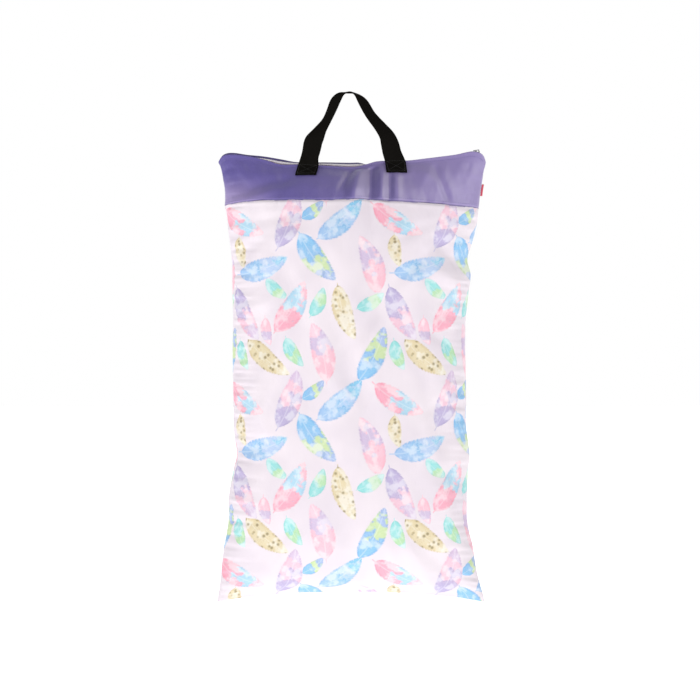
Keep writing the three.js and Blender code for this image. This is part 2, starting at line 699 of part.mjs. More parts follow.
// The pull lies back on the teeth. Its rim crosses the slider under the bridge.
function pullGeometry() {
  const rim = pullThickness / 2;
  const eyeEnd = rim + eyeLength;
  const half = pullWidth / 2;
  const neck = pullNeck / 2;
  const points = (list) => list.map(([x, y]) => new THREE.Vector2(x, y));
  const outline = points([
    [rim, -neck],
    [rim, neck],
    [-eyeEnd - rim, neck],
    [-eyeEnd - pullNeck, half],
    [-pullLength + pullRound, half],
    [-pullLength, half - pullRound],
    [-pullLength, pullRound - half],
    [-pullLength + pullRound, -half],
    [-eyeEnd - pullNeck, -half],
    [-eyeEnd - rim, -neck],
  ]);
  const eye = points([
    [-eyeEnd, -eyeWidth / 2],
    [-rim, -eyeWidth / 2],
    [-rim, eyeWidth / 2],
    [-eyeEnd, eyeWidth / 2],
  ]);
  const shape = new THREE.Shape(outline);
  shape.holes.push(new THREE.Path(eye));
  return new THREE.ExtrudeGeometry(shape, { depth: pullThickness, bevelEnabled: false })
    .translate(0, 0, -rim)
    .rotateY(THREE.MathUtils.degToRad(-pullDip))
    .translate(0, 0, rimLevel)
    .applyMatrix4(sliderMatrix);
}

// The label sewn in the right side seam, bent round towards the back.
function labelGeometry() {
  const turn = THREE.MathUtils.degToRad(labelTurn);
  const grid = [];
  for (let step = 0; step <= labelSteps; step += 1) {
    const drop = labelDrop + (labelHeight * step) / labelSteps;
    const root = onSection(bandSection(drop / bandRun), "front", 1, false);
    root.x += pieceGap;
    const reachTo = (t) =>
      new THREE.Vector3(Math.cos(turn * t), Math.sin(turn * t), 0).setLength(t * labelReach);
    grid.push([0, 0.5, 1].map((t) => root.clone().add(reachTo(t))));
  }
  return slab(grid, labelThickness);
}

const group = new THREE.Group();
function place(name, geometry, material) {
  const mesh = new THREE.Mesh(geometry, material);
  mesh.name = name;
  group.add(mesh);
  return mesh;
}

const bandCloth = new THREE.MeshStandardMaterial({ color: 0x6f63a0, roughness: 0.5 });
const printCloth = new THREE.MeshStandardMaterial({ color: 0xf3eaf0, roughness: 0.7 });
const webbing = new THREE.MeshStandardMaterial({ color: 0x161513, roughness: 0.8 });

const tapeCloth = new THREE.MeshStandardMaterial({ color: 0xf1e9ee, roughness: 0.85 });
const nylon = new THREE.MeshStandardMaterial({ color: 0xf6f2f4, roughness: 0.45 });
const greyMetal = new THREE.MeshStandardMaterial({
  color: 0x8b8a8c,
  roughness: 0.35,
  metalness: 0.9,
});
const redTape = new THREE.MeshStandardMaterial({ color: 0xc4324a, roughness: 0.75 });

place("pouch", pouchGeometry(), printCloth);
place("band", bandGeometry(), bandCloth);
place("tape_front", tapeGeometry(-1), tapeCloth);
place("tape_back", tapeGeometry(1), tapeCloth);
place("teeth", teethGeometry(), nylon);
place("slider", sliderGeometry(), greyMetal);
place("pull_tab", pullGeometry(), greyMetal);
place("handle", handleGeometry(), webbing);
place("side_label", labelGeometry(), redTape);

export default group;
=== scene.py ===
import math

import bpy
import numpy as np
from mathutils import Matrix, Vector


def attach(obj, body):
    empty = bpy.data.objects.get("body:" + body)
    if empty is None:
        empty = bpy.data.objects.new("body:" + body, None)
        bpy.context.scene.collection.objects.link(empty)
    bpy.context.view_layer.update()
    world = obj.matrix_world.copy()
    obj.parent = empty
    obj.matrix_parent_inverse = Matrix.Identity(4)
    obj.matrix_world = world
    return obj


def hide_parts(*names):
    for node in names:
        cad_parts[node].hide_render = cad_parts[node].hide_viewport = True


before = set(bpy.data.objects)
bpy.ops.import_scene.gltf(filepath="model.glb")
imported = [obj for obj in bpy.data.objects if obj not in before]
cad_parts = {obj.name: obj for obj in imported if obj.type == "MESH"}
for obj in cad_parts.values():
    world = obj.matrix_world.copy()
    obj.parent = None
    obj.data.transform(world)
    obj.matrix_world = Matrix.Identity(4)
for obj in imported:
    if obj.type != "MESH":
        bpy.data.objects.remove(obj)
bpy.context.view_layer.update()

# Sizes in mm, the same as the solid model's. A photo pixel is 1.5 mm on the plane of the
# side seams.
MM = 0.001
PIXEL = 1.5
CLOTH_WIDTH = 400
WALL = 1.6
BAND_RUN = 60
POUCH_RUN = 580
SHOULDER = 60
BELLY = 73
ZIP_GAP = 9
EAR_RISE = 19
SEAM_WAVE = 5
BOTTOM_THICKNESS = 5.2
FOLD_DEPTH = 6
FOLD_WIDTH = 11
PIECE_GAP = 0.35
HANDLE_RISE = 107
HANDLE_SPAN = 136
WEBBING_WIDTH = 31
WEBBING_THICKNESS = 1.8
HANDLE_GAP = 1.2
TAPE_THICKNESS = 0.9
TAPE_SINK = 4.5
TAPE_MARGIN = 1.2
CHAIN_WIDTH = 5
CHAIN_THICKNESS = 1.8
TEETH_MARGIN = 0.2
SLIDER_PLACE = 189
SLIDER_LENGTH = 9
SIDE_WALL = 2.6
HALF = CLOTH_WIDTH / 2
ZIP_LEVEL = -HANDLE_RISE
SEAM_LEVEL = ZIP_LEVEL - BAND_RUN

# Sizes of the looks alone. The tapes go on to the side seams, past the solids' ends, so that
# no hole shows beside the zip.
CHAIN_START = -186
TAPE_START = -194
TAPE_END = 196
BAND_COLUMNS = 150
POUCH_COLUMNS = 104
HEM = 7
TEETH_PITCH = 1.35
TOOTH = (TEETH_PITCH * 1.5, CHAIN_WIDTH * 0.72, CHAIN_THICKNESS * 0.94)
TOOTH_CHAMFER = 0.3
WEBBING_CUP = 0.5
STITCH_LIFT = 0.1
SEWN_PITCH = 2.4
SEWN_THREAD = 0.28
LABEL_TOP = 23
LABEL_BOTTOM = 39
LABEL_REACH = 4.4
LABEL_TURN = 48
LABEL_THICKNESS = 1.0


def rows(columns, lines):
    """A table of named columns from lines of numbers."""
    names = columns.split()
    return {n: np.array([line[i] for line in lines]) for i, n in enumerate(names)}


# Sections of the band and of the pouch, from the top of each down, as in the solids.
BAND = rows("drop sag left right depth round", [
    (0.0, -0.03, 0.995, 1.012, 0.0, 0.35),
    (0.06, 0.0, 0.98, 1.005, 0.03, 0.4),
    (0.16, 0.05, 0.968, 0.993, 0.17, 0.6),
    (0.31, 0.09, 0.958, 0.985, 0.4, 0.82),
    (0.48, 0.11, 0.948, 0.974, 0.6, 0.95),
    (0.66, 0.1, 0.945, 0.967, 0.78, 1.02),
    (0.84, 0.07, 0.945, 0.962, 0.91, 1.06),
    (1.0, 0.03, 0.948, 0.956, 1.0, 1.08),
])
POUCH = rows("drop sag left right depth round", [
    (0.0, 0.003, 0.948, 0.956, 0.822, 1.08),
    (0.026, 0.003, 0.93, 0.95, 0.875, 1.1),
    (0.065, 0.003, 0.92, 0.93, 0.93, 1.12),
    (0.104, 0.002, 0.905, 0.9, 0.963, 1.12),
    (0.142, 0.001, 0.892, 0.873, 0.983, 1.12),
    (0.181, 0.0, 0.89, 0.898, 0.994, 1.12),
    (0.22, 0.0, 0.89, 0.884, 1.0, 1.12),
    (0.298, 0.0, 0.884, 0.86, 1.0, 1.12),
    (0.375, 0.0, 0.888, 0.857, 1.0, 1.12),
    (0.49, 0.0, 0.882, 0.864, 0.993, 1.12),
    (0.57, 0.0, 0.882, 0.863, 0.983, 1.12),
    (0.608, 0.0, 0.87, 0.877, 0.975, 1.12),
    (0.647, 0.0, 0.857, 0.89, 0.963, 1.12),
    (0.685, 0.0, 0.883, 0.878, 0.95, 1.12),
    (0.763, 0.0, 0.92, 0.87, 0.908, 1.1),
    (0.802, 0.001, 0.916, 0.87, 0.872, 1.08),
    (0.841, 0.002, 0.93, 0.885, 0.815, 1.06),
    (0.879, 0.003, 0.952, 0.914, 0.73, 1.02),
    (0.918, 0.006, 0.966, 0.932, 0.6, 0.98),
    (0.95, 0.01, 0.976, 0.952, 0.46, 0.92),
    (0.975, 0.015, 0.986, 0.975, 0.3, 0.8),
    (0.99, 0.02, 0.996, 0.993, 0.12, 0.5),
    (1.0, 0.026, 1.0, 1.0, 0.036, 0.3),
])
# The band's upper edge, at the front and at the back, and how deep the tapes sit in it.
EDGE = rows("across front back sink", [
    (-1.0, 0.06, 0.06, 0.7),
    (-0.97, 0.5, 0.64, 0.7),
    (-0.905, 0.66, 0.87, 0.7),
    (-0.78, 0.56, 0.74, 0.65),
    (-0.66, 0.31, 0.64, 0.6),
    (-0.53, -0.07, 0.43, 0.5),
    (-0.41, -0.07, 0.22, 0.45),
    (-0.2, -0.15, 0.21, 0.4),
    (0.0, -0.25, 0.18, 0.4),
    (0.06, -0.19, 0.19, 0.45),
    (0.118, -0.03, 0.04, 0.6),
    (0.185, 0.17, 0.05, 0.75),
    (0.25, 0.22, 0.1, 0.85),
    (0.42, 0.24, 0.16, 0.95),
    (0.54, 0.375, 0.28, 1.0),
    (0.66, 0.52, 0.42, 1.0),
    (0.776, 0.67, 0.57, 1.0),
    (0.88, 0.89, 0.81, 0.7),
    (0.924, 0.87, 0.81, 0.25),
    (0.975, 0.62, 0.56, 0.1),
    (1.0, 0.05, 0.05, 0.1),
])
# The seam between the band and the pouch, which rises and falls a little.
SEAM = rows("across rise", [
    (-1.0, 0.0),
    (-0.9, 0.25),
    (-0.75, 0.5),
    (-0.5, 0.55),
    (-0.2, 0.3),
    (0.07, 0.5),
    (0.25, 0.25),
    (0.4, 0.0),
    (0.55, -0.3),
    (0.75, -0.6),
    (0.9, -0.8),
    (1.0, -0.9),
])
# Folds of the cloth: place, turn, size, and how far they stand out.
FOLD_COLUMNS = "across drop turn length width out"
FOLDS = {
    ("band", "front"): rows(FOLD_COLUMNS, [
        (-0.02, 0.3, 27, 0.95, 0.5, -0.9),
        (0.04, 0.5, 12, 1.1, 0.85, 1.25),
        (0.15, 0.55, 5, 1.15, 0.7, -1.3),
        (0.232, 0.62, 2, 1.0, 0.5, 0.6),
        (0.292, 0.66, 0, 0.8, 0.36, -0.6),
        (0.352, 0.66, -3, 0.85, 0.5, 0.5),
        (-0.62, 0.5, 76, 1.7, 0.9, -0.8),
        (-0.84, 0.25, -38, 0.8, 0.7, 0.5),
        (-0.78, 0.86, 80, 1.3, 1.0, 0.8),
        (0.7, 0.56, -31, 1.0, 0.5, -0.6),
        (0.6, 0.35, -62, 1.4, 0.9, 0.4),
    ]),
    ("band", "back"): rows(FOLD_COLUMNS, [
        (-0.42, 0.5, -24, 1.0, 0.8, -0.8),
        (-0.3, 0.55, -16, 1.0, 0.9, 0.6),
        (0.2, 0.55, 20, 1.1, 0.8, -0.7),
        (0.62, 0.45, 58, 1.2, 0.9, -0.5),
    ]),
    ("pouch", "front"): rows(FOLD_COLUMNS, [
        (-0.86, 0.12, 62, 0.12, 0.9, -0.6),
        (-0.84, 0.27, 70, 0.12, 0.9, 0.5),
        (0.82, 0.13, -52, 0.16, 1.0, -0.8),
        (0.84, 0.2, -66, 0.14, 1.1, 0.7),
        (0.2, 0.1, 6, 0.3, 1.8, -0.5),
        (-0.34, 0.3, 8, 0.5, 3.0, -0.5),
        (0.42, 0.45, -6, 0.5, 3.2, -0.45),
        (-0.84, 0.62, 74, 0.1, 1.0, -0.7),
        (0.84, 0.7, -72, 0.12, 1.0, -0.5),
        (-0.6, 0.87, 40, 0.14, 1.3, -0.5),
        (0.6, 0.88, -42, 0.14, 1.3, -0.5),
    ]),
    ("pouch", "back"): rows(FOLD_COLUMNS, [
        (0.3, 0.2, -8, 0.4, 2.6, -0.6),
        (-0.36, 0.45, 6, 0.5, 3.0, -0.5),
        (0.84, 0.4, 68, 0.12, 1.0, -0.6),
        (-0.84, 0.72, -68, 0.12, 1.0, -0.6),
    ]),
}
# Creases of the pouch that only the looks have.
CREASES = rows(FOLD_COLUMNS, [
    (0.555, 0.155, 53, 0.19, 0.8, -0.45),
    (0.5, 0.075, 66, 0.14, 0.7, -0.3),
    (-0.6, 0.045, 84, 0.13, 0.7, -0.35),
    (-0.5, 0.09, 78, 0.12, 0.8, 0.3),
    (-0.72, 0.2, 60, 0.1, 0.8, -0.3),
    (0.15, 0.3, 40, 0.16, 1.1, -0.3),
    (-0.1, 0.47, -50, 0.16, 1.2, 0.25),
    (0.72, 0.34, -64, 0.1, 0.8, -0.35),
    (0.7, 0.52, 60, 0.1, 0.8, -0.3),
])
# The handle between its sewn ends: its middle line, and how far it is turned.
STRAP = rows("across drop turn", [
    (-0.914, 0.92, 35),
    (-0.861, 0.79, 30),
    (-0.832, 0.69, 27),
    (-0.771, 0.625, 36),
    (-0.682, 0.527, 52),
    (-0.534, 0.384, 63),
    (-0.419, 0.227, 62),
    (-0.338, 0.098, 60),
    (-0.225, 0.01, 69),
    (-0.115, -0.0075, 81),
    (0.0, -0.014, 83),
    (0.12, 0.016, 76),
    (0.252, 0.11, 62),
    (0.424, 0.3, 59),
    (0.65, 0.48, 52),
    (0.797, 0.61, 41),
    (0.858, 0.725, 30),
    (0.903, 0.86, 27),
])
# Each sewn end: the middle of its cut and of its upper edge, and its reach down the band.
SEWN = {"left": (-0.991, -0.931, 0.305), "right": (0.995, 0.973, 0.29)}


def smooth(table, key, column, at):
    """The same smooth curve through a column as in the solid model."""
    keys, values = table[key], table[column]
    last = len(keys) - 1
    at = np.clip(at, keys[0], keys[-1])
    i = np.clip(np.searchsorted(keys, at) - 1, 0, last - 1)
    before = np.maximum(np.arange(last + 1) - 1, 0)
    after = np.minimum(np.arange(last + 1) + 1, last)
    slopes = (values[after] - values[before]) / (keys[after] - keys[before])
    span = keys[i + 1] - keys[i]
    t = (at - keys[i]) / span
    return (
        values[i] * (1 + 2 * t) * (1 - t) ** 2
        + values[i + 1] * t * t * (3 - 2 * t)
        + slopes[i] * span * t * (1 - t) ** 2
        - slopes[i + 1] * span * t * t * (1 - t)
    )


def waves(seed, wide, tall, x, z, count=22, spread=0.5):
    """Soft even noise of about the given wavelengths, from -1 to 1 for the most part."""
    random = np.random.default_rng(seed)
    total = 0
    for _ in range(count):
        kx = 2 * math.pi / (wide * random.uniform(1 - spread, 1 + spread))
        kz = 2 * math.pi / (tall * random.uniform(1 - spread, 1 + spread))
        kx *= random.choice([-1, 1])
        total = total + np.cos(kx * x + kz * z + random.uniform(0, 2 * math.pi))
    return total / math.sqrt(count)


def fold_push(folds, x, drop, run):
    """How far the folds of a table push the cloth out, in mm."""
    push = 0
    for i in range(len(folds["across"])):
        row = {name: folds[name][i] for name in folds}
        dx = x - row["across"] * HALF
        dz = drop - row["drop"] * run
        lean = math.radians(row["turn"])
        along = dz * math.cos(lean) - dx * math.sin(lean)
        beside = dz * math.sin(lean) + dx * math.cos(lean)
        reach = 2 * along / (row["length"] * run)
        spread = beside / (row["width"] * FOLD_WIDTH)
        push = push + row["out"] * FOLD_DEPTH * np.exp(-(spread**2) - reach**4)
    return push


def step(x, low, high):
    """A smooth step from 0 at low to 1 at high."""
    t = np.clip((x - low) / (high - low), 0, 1)
    return t * t * (3 - 2 * t)


def sections(piece, share):
    """The sections of the band or pouch at these shares of its height, in mm."""
    table = BAND if piece == "band" else POUCH
    s = {n: smooth(table, "drop", n, share) for n in table if n != "drop"}
    run = BAND_RUN if piece == "band" else POUCH_RUN
    s |= {"run": run, "drop": share * run, "share": share}
    s["sag"] = s["sag"] * run
    s["left"], s["right"] = s["left"] * HALF, s["right"] * HALF
    if piece == "band":
        s["level"] = ZIP_LEVEL - s["drop"]
        s["depth"] = ZIP_GAP + s["depth"] * (SHOULDER - ZIP_GAP)
        s["edge"] = (1 - share) ** 2
        s["seam"] = share**2
        s["fade"] = step(share, 0.06, 0.18)
        s["carried"] = 0 * share
    else:
        s["level"] = SEAM_LEVEL - PIECE_GAP - s["drop"]
        s["depth"] = np.maximum(s["depth"] * BELLY, BOTTOM_THICKNESS / 2)
        s["edge"] = 0 * share
        s["seam"] = np.exp(-((share / 0.07) ** 2))
        s["fade"] = np.minimum(1, (1 - share) / 0.03)
        s["carried"] = np.exp(-((share / 0.07) ** 2))
    return s


def detail(piece, face, x, s, across):
    """Finer creases than the solids have, in mm outwards."""
    seed = {"band": 11, "pouch": 31}[piece] + (5 if face == "back" else 0)
    z = s["level"] + 0 * x
    side = (1 - np.abs(across)) * HALF
    near_side = np.exp(-((side / 26) ** 1.4))
    pucker = waves(seed, 190, 17, x, z, 16) * 1.5 + waves(seed + 1, 120, 8.5, x, z, 16) * 0.5
    if piece == "band":
        seam = BAND_RUN * (1 - s["share"])
        soft = waves(seed + 2, 46, 70, x, z) * 0.7 + waves(seed + 3, 15, 30, x, z) * 0.12
        gather = waves(seed + 4, 11, 60, x, z, 14) * 0.5 * np.exp(-seam / 14)
        groove = -1.5 * np.exp(-((seam / 1.5) ** 2)) + 0.25 * np.exp(-(((seam - 4) / 3) ** 2))
        return pucker * near_side * 0.35 + (soft + gather) * s["fade"] + groove
    seam = s["drop"]
    low = POUCH_RUN - s["drop"]
    soft = waves(seed + 2, 105, 230, x, z) * 1.5 + waves(seed + 3, 38, 90, x, z) * 0.42
    gather = waves(seed + 4, 12, 90, x, z, 14) * 0.45 * np.exp(-seam / 20)
    groove = -1.4 * np.exp(-((seam / 1.5) ** 2)) + 0.5 * np.exp(-(((seam - 4) / 3) ** 2))
    hem = waves(seed + 5, 16, 60, x, z, 16) * 1.1 * np.exp(-low / 24) * step(low, 2, 12)
    creases = fold_push(CREASES, x if face == "front" else -x, s["drop"], POUCH_RUN)
    return pucker * near_side * 1.2 + (soft + creases) * step(side, 0, 40) + gather + groove + hem


def sewn_mask(face, x, level):
    """1 where the handle's ends lie on the band, where the cloth is flat under them."""
    if face == "back":
        return 0 * x
    mask = 0
    for cut, edge, reach in SEWN.values():
        middle = (cut + edge) / 2 * HANDLE_SPAN / 2
        aside = step(np.abs(x - middle), 28, 19)
        end = ZIP_LEVEL - BAND_RUN * reach
        mask = mask + aside * step(level, end - 9, end - 2)
    return mask


def cloth(piece, face, across, share, fine=True, thick=0.0):
    """Points of a face, as an array (rows, columns, 3) in mm. thick gives the inner side of
    the solid model's wall."""
    a = np.asarray(across, float)[None, :]
    found = sections(piece, np.asarray(share, float))
    s = {n: v[:, None] if np.ndim(v) else v for n, v in found.items()}
    half = np.where(a < 0, s["left"], s["right"]) - (SIDE_WALL if thick else 0)
    depth = np.maximum(s["depth"] - thick, 0.5)
    upright = np.sqrt(np.maximum(0, 1 - a * a))
    bulge = depth * upright ** s["round"]
    rise = smooth(EDGE, "across", face, a) * EAR_RISE * s["edge"]
    rise = rise + smooth(SEAM, "across", "rise", a) * SEAM_WAVE * s["seam"]
    x = a * HALF
    push = fold_push(FOLDS[piece, face], x, s["drop"], s["run"])
    push = push + s["carried"] * fold_push(FOLDS["band", face], x, BAND_RUN, BAND_RUN)
    push = push * (1 - a**8) * s["fade"]
    if fine:
        mask = sewn_mask(face, x, s["level"] + 0 * x) if piece == "band" else 0
        push = push + detail(piece, face, x + 0 * s["level"], s, a) * (1 - a**24) * (1 - mask)
    aside = depth * a / half
    long = np.hypot(aside, upright)
    long = np.where(long == 0, 1, long)
    points = np.empty((*np.broadcast_shapes(bulge.shape, push.shape), 3))
    points[..., 0] = a * half + push * aside / long
    points[..., 1] = (-1 if face == "front" else 1) * (bulge + push * upright / long)
    points[..., 2] = s["level"] - s["sag"] * np.abs(a) ** 2.5 + rise
    return points


def spread_columns(count):
    """Places from -1 to 1 across a face, closer together at its sides."""
    even = np.linspace(-1, 1, count + 1)
    return 0.7 * np.sin(math.pi / 2 * even) + 0.3 * even


def arc(points, axis):
    """Running length along an axis of a grid of points."""
    steps = np.linalg.norm(np.diff(points, axis=axis), axis=-1)
    start = np.zeros_like(np.take(steps, [0], axis=axis))
    return np.concatenate([start, np.cumsum(steps, axis=axis)], axis=axis)


def grid_normals(points, closed):
    """Unit normals of a grid whose second axis may be a closed ring."""
    if closed:
        across = np.roll(points, -1, axis=1) - np.roll(points, 1, axis=1)
    else:
        across = np.gradient(points, axis=1)
    down = np.gradient(points, axis=0)
    normals = np.cross(down, across)
    return normals / np.maximum(np.linalg.norm(normals, axis=-1, keepdims=True), 1e-9)


def mesh_object(name, points, faces, material, uvs=None, smooth_shade=True):
    """An object from points in mm. uvs holds one (u, v) a face corner, in metres."""
    mesh = bpy.data.meshes.new(name)
    metres = (np.asarray(points, float) * MM).tolist()
    mesh.from_pydata(metres, [], [list(map(int, f)) for f in faces])
    if uvs is not None:
        layer = mesh.uv_layers.new(name="cloth")
        layer.data.foreach_set("uv", np.asarray(uvs, np.float32).ravel())
    mesh.materials.append(material)
    mesh.polygons.foreach_set("use_smooth", [smooth_shade] * len(mesh.polygons))
    mesh.validate()
    made = bpy.data.objects.new(name, mesh)
    bpy.context.scene.collection.objects.link(made)
    return made


def ring_quads(rows_count, ring, turned=False):
    """Faces between the rows of closed rings."""
    r, c = np.meshgrid(np.arange(rows_count - 1), np.arange(ring), indexing="ij")
    n = (c + 1) % ring
    quads = np.stack([r * ring + c, (r + 1) * ring + c, (r + 1) * ring + n, r * ring + n], -1)
    quads = quads.reshape(-1, 4)
    return quads[:, ::-1] if turned else quads


def shell(piece, columns, share, material, closed_bottom, wall):
    """The band or the pouch: outer skin, rounded edges and inner skin of one body."""
    a = spread_columns(columns)
    front = cloth(piece, "front", a, share)
    back = cloth(piece, "back", a, share)
    ring = np.concatenate([front, back[:, -2:0:-1]], axis=1)
    count = ring.shape[1]
    normals = grid_normals(ring, True)
    inner = ring - normals * wall
    sign = np.where(np.arange(count) <= columns, -1, 1)[None, :]
    inner[..., 1] = sign * np.maximum(sign * inner[..., 1], 0.15)
    inner[:, [0, columns], 1] = 0

    def lip(outer_row, inner_row, way, steps=4):
        middle, arm = (outer_row + inner_row) / 2, (outer_row - inner_row) / 2
        up = np.zeros_like(arm)
        up[:, 2] = way * np.linalg.norm(arm, axis=1)
        turns = np.linspace(0, math.pi, steps + 1)[1:-1]
        return [middle + arm * math.cos(t) + up * math.sin(t) for t in turns]

    # One sheet of rings: down the outside, round the lower edge and up the inside.
    stack = list(ring)
    if closed_bottom:
        keep = share < 1 - HEM / POUCH_RUN
        inner = inner[keep]
    else:
        stack += lip(ring[-1], inner[-1], -1)
    low_row = len(stack) - 1
    stack += list(inner[::-1])
    stack += lip(ring[0], inner[0], 1)[::-1]
    grid = np.stack(stack)
    total = len(grid)
    quads = ring_quads(total, count)
    if closed_bottom:
        skip = (quads[:, 0] // count) == low_row
        quads = quads[~skip]
    last = np.arange(count) + (total - 1) * count
    first = np.arange(count)
    closing = np.stack([last, first, np.roll(first, -1), np.roll(last, -1)], -1)
    quads = np.concatenate([quads, closing])
    faces = quads.tolist()
    if closed_bottom:
        for row, up in ((low_row, False), (low_row + 1, True)):
            for i in range(columns):
                corners = [i, i + 1, (count - i - 1) % count, (count - i) % count]
                corners = list(dict.fromkeys(row * count + c for c in corners))
                faces.append(corners if up else corners[::-1])

    # Cloth lengths across each row and down the middle, for the weave and the print.
    def flat_u(face_points):
        run = arc(face_points, 1)
        middle = columns // 2
        return run - run[:, middle : middle + 1]

    u_front = flat_u(grid[:, : columns + 1])
    back_part = np.concatenate([grid[:, columns:], grid[:, :1]], axis=1)
    u_back = flat_u(back_part) + 1.5 * CLOTH_WIDTH
    v = -arc(grid[:, columns // 2], 0)
    uvs = []
    for f in faces:
        r = [i // count for i in f]
        c = [i % count for i in f]
        is_front = max(c) <= columns and not (0 in c and max(c) == count - 1)
        for ri, ci in zip(r, c):
            if is_front:
                u = u_front[ri, ci]
            else:
                u = u_back[ri, (ci - columns) if ci >= columns else count - columns]
            uvs.append((u * MM, v[ri] * MM))
    return mesh_object(piece + "_cloth", grid.reshape(-1, 3), faces, material, uvs)


band_share = np.concatenate([np.linspace(0, 0.9, 44, endpoint=False), np.linspace(0.9, 1, 9)])
BAND_LENGTH = arc(cloth("band", "front", [0.0], band_share), 0)[-1, 0]


# Materials.
class Graph:
    """Short names for the nodes of one material."""

    def __init__(self, tree):
        self.tree = tree

    def node(self, kind, **inputs):
        made = self.tree.nodes.new(kind)
        for key, value in inputs.items():
            if key.startswith("_"):
                setattr(made, key[1:], value)
        return made

    def put(self, socket, value):
        if isinstance(value, bpy.types.NodeSocket):
            self.tree.links.new(value, socket)
        elif value is not None:
            socket.default_value = value

    def math(self, operation, a, b=None, c=None, clamp=False):
        n = self.node("ShaderNodeMath", _operation=operation, _use_clamp=clamp)
        for i, value in enumerate((a, b, c)):
            self.put(n.inputs[i], value)
        return n.outputs[0]

    def vector(self, operation, a, b=None):
        n = self.node("ShaderNodeVectorMath", _operation=operation)
        self.put(n.inputs[0], a)
        self.put(n.inputs[1], b)
        return n.outputs["Value"] if operation in ("LENGTH", "DOT_PRODUCT") else n.outputs[0]

    def mix(self, factor, a, b, blend="MIX"):
        n = self.node("ShaderNodeMix", _data_type="RGBA", _blend_type=blend)
        self.put(n.inputs[0], factor)
        self.put(n.inputs[6], a)
        self.put(n.inputs[7], b)
        return n.outputs[2]

    def mix_vector(self, factor, a, b):
        n = self.node("ShaderNodeMix", _data_type="VECTOR")
        self.put(n.inputs[0], factor)
        self.put(n.inputs[4], a)
        self.put(n.inputs[5], b)
        return n.outputs[1]

    def range(self, value, low, high, to_low=0.0, to_high=1.0, smooth_step=True):
        n = self.node("ShaderNodeMapRange")
        n.interpolation_type = "SMOOTHSTEP" if smooth_step else "LINEAR"
        for i, v in enumerate((value, low, high, to_low, to_high)):
            self.put(n.inputs[i], v)
        return n.outputs[0]

    def noise(self, vector, scale, detail=3.0, rough=0.55, colour=False):
        n = self.node("ShaderNodeTexNoise")
        self.put(n.inputs["Vector"], vector)
        self.put(n.inputs["Scale"], scale)
        self.put(n.inputs["Detail"], detail)
        self.put(n.inputs["Roughness"], rough)
        return n.outputs["Color" if colour else "Fac"]

    def split(self, vector):
        n = self.node("ShaderNodeSeparateXYZ")
        self.put(n.inputs[0], vector)
        return n.outputs

    def join(self, x, y, z=0.0):
        n = self.node("ShaderNodeCombineXYZ")
        for i, v in enumerate((x, y, z)):
            self.put(n.inputs[i], v)
        return n.outputs[0]

    def bump(self, height, distance, strength=1.0, normal=None):
        n = self.node("ShaderNodeBump")
        self.put(n.inputs["Strength"], strength)
        self.put(n.inputs["Distance"], distance)
        self.put(n.inputs["Height"], height)
        self.put(n.inputs["Normal"], normal)
        return n.outputs[0]


def srgb(r, g, b):
    """A linear colour from 0 to 255 screen values."""
    def one(v):
        v /= 255
        return v / 12.92 if v <= 0.04045 else ((v + 0.055) / 1.055) ** 2.4

    return (one(r), one(g), one(b), 1.0)


def new_material(name, **constants):
    """A material with its graph and its shader, whose constants are set directly."""
    m = bpy.data.materials.new(name)
    m.use_nodes = True
    shader = m.node_tree.nodes["Principled BSDF"]
    for key, value in constants.items():
        shader.inputs[key.replace("_", " ")].default_value = value
    return m, Graph(m.node_tree), shader


def surface(g, shader, colour, roughness, normal):
    """Joins the colour, the roughness and the normal to a shader."""
    g.put(shader.inputs["Base Color"], colour)
    g.put(shader.inputs["Roughness"], roughness)
    g.put(shader.inputs["Normal"], normal)


def cloth_uv(g):
    """The cloth's own lengths in mm."""
    uv = g.node("ShaderNodeUVMap", _uv_map="cloth").outputs[0]
    return g.vector("MULTIPLY", uv, (1000, 1000, 1000))


def weave_height(g, uv, pitch):
    """A plain weave of the given thread pitch in mm."""
    x, y, _ = g.split(g.vector("MULTIPLY", uv, (math.pi / pitch,) * 3))
    a = g.math("SINE", x)
    b = g.math("SINE", y)
    over = g.math("MULTIPLY", a, b)
    return g.math("ABSOLUTE", over)


# The leaves of the print, charted on a repeat of 240 x 264 mm of cloth. Each has
# its middle, the way it points in degrees, its length and width, and its colours.
REPEAT = (240, 264)
WASHES = {
    "sky": (srgb(138, 198, 238), srgb(172, 196, 234), srgb(210, 230, 162)),
    "sea": (srgb(160, 198, 236), srgb(142, 208, 238), srgb(192, 212, 242)),
    "rose": (srgb(250, 196, 210), srgb(248, 212, 224), srgb(208, 192, 222)),
    "coral": (srgb(248, 172, 192), srgb(250, 198, 210), srgb(166, 220, 240)),
    "lilac": (srgb(190, 178, 216), srgb(222, 202, 226), srgb(246, 202, 216)),
    "gold": (srgb(226, 210, 166), srgb(238, 228, 200), srgb(228, 212, 170)),
    "aqua": (srgb(150, 224, 222), srgb(178, 230, 224), srgb(188, 228, 174)),
}
KINDS = list(WASHES)
KIND_STEPS = 8
LEAVES = rows("x y turn length width kind", [
    (34, 36, 64, 87, 36, 0),
    (112, 30, -38, 85, 33, 5),
    (196, 40, 104, 89, 38, 2),
    (74, 94, -62, 87, 35, 4),
    (152, 104, 58, 87, 38, 3),
    (230, 96, -72, 83, 32, 5),
    (30, 168, 108, 89, 37, 2),
    (106, 163, 16, 85, 35, 1),
    (188, 176, -52, 87, 37, 0),
    (70, 232, -30, 85, 36, 3),
    (148, 234, 72, 89, 38, 4),
    (226, 232, 42, 87, 35, 1),
    (70, 34, -70, 46, 22, 6),
    (154, 38, -60, 48, 23, 6),
    (111, 69, -75, 42, 21, 2),
    (192, 112, 65, 46, 22, 6),
    (30, 112, 30, 46, 22, 6),
    (66, 187, -80, 48, 22, 5),
    (128, 131, -40, 44, 21, 6),
    (184, 247, 40, 42, 21, 0),
])


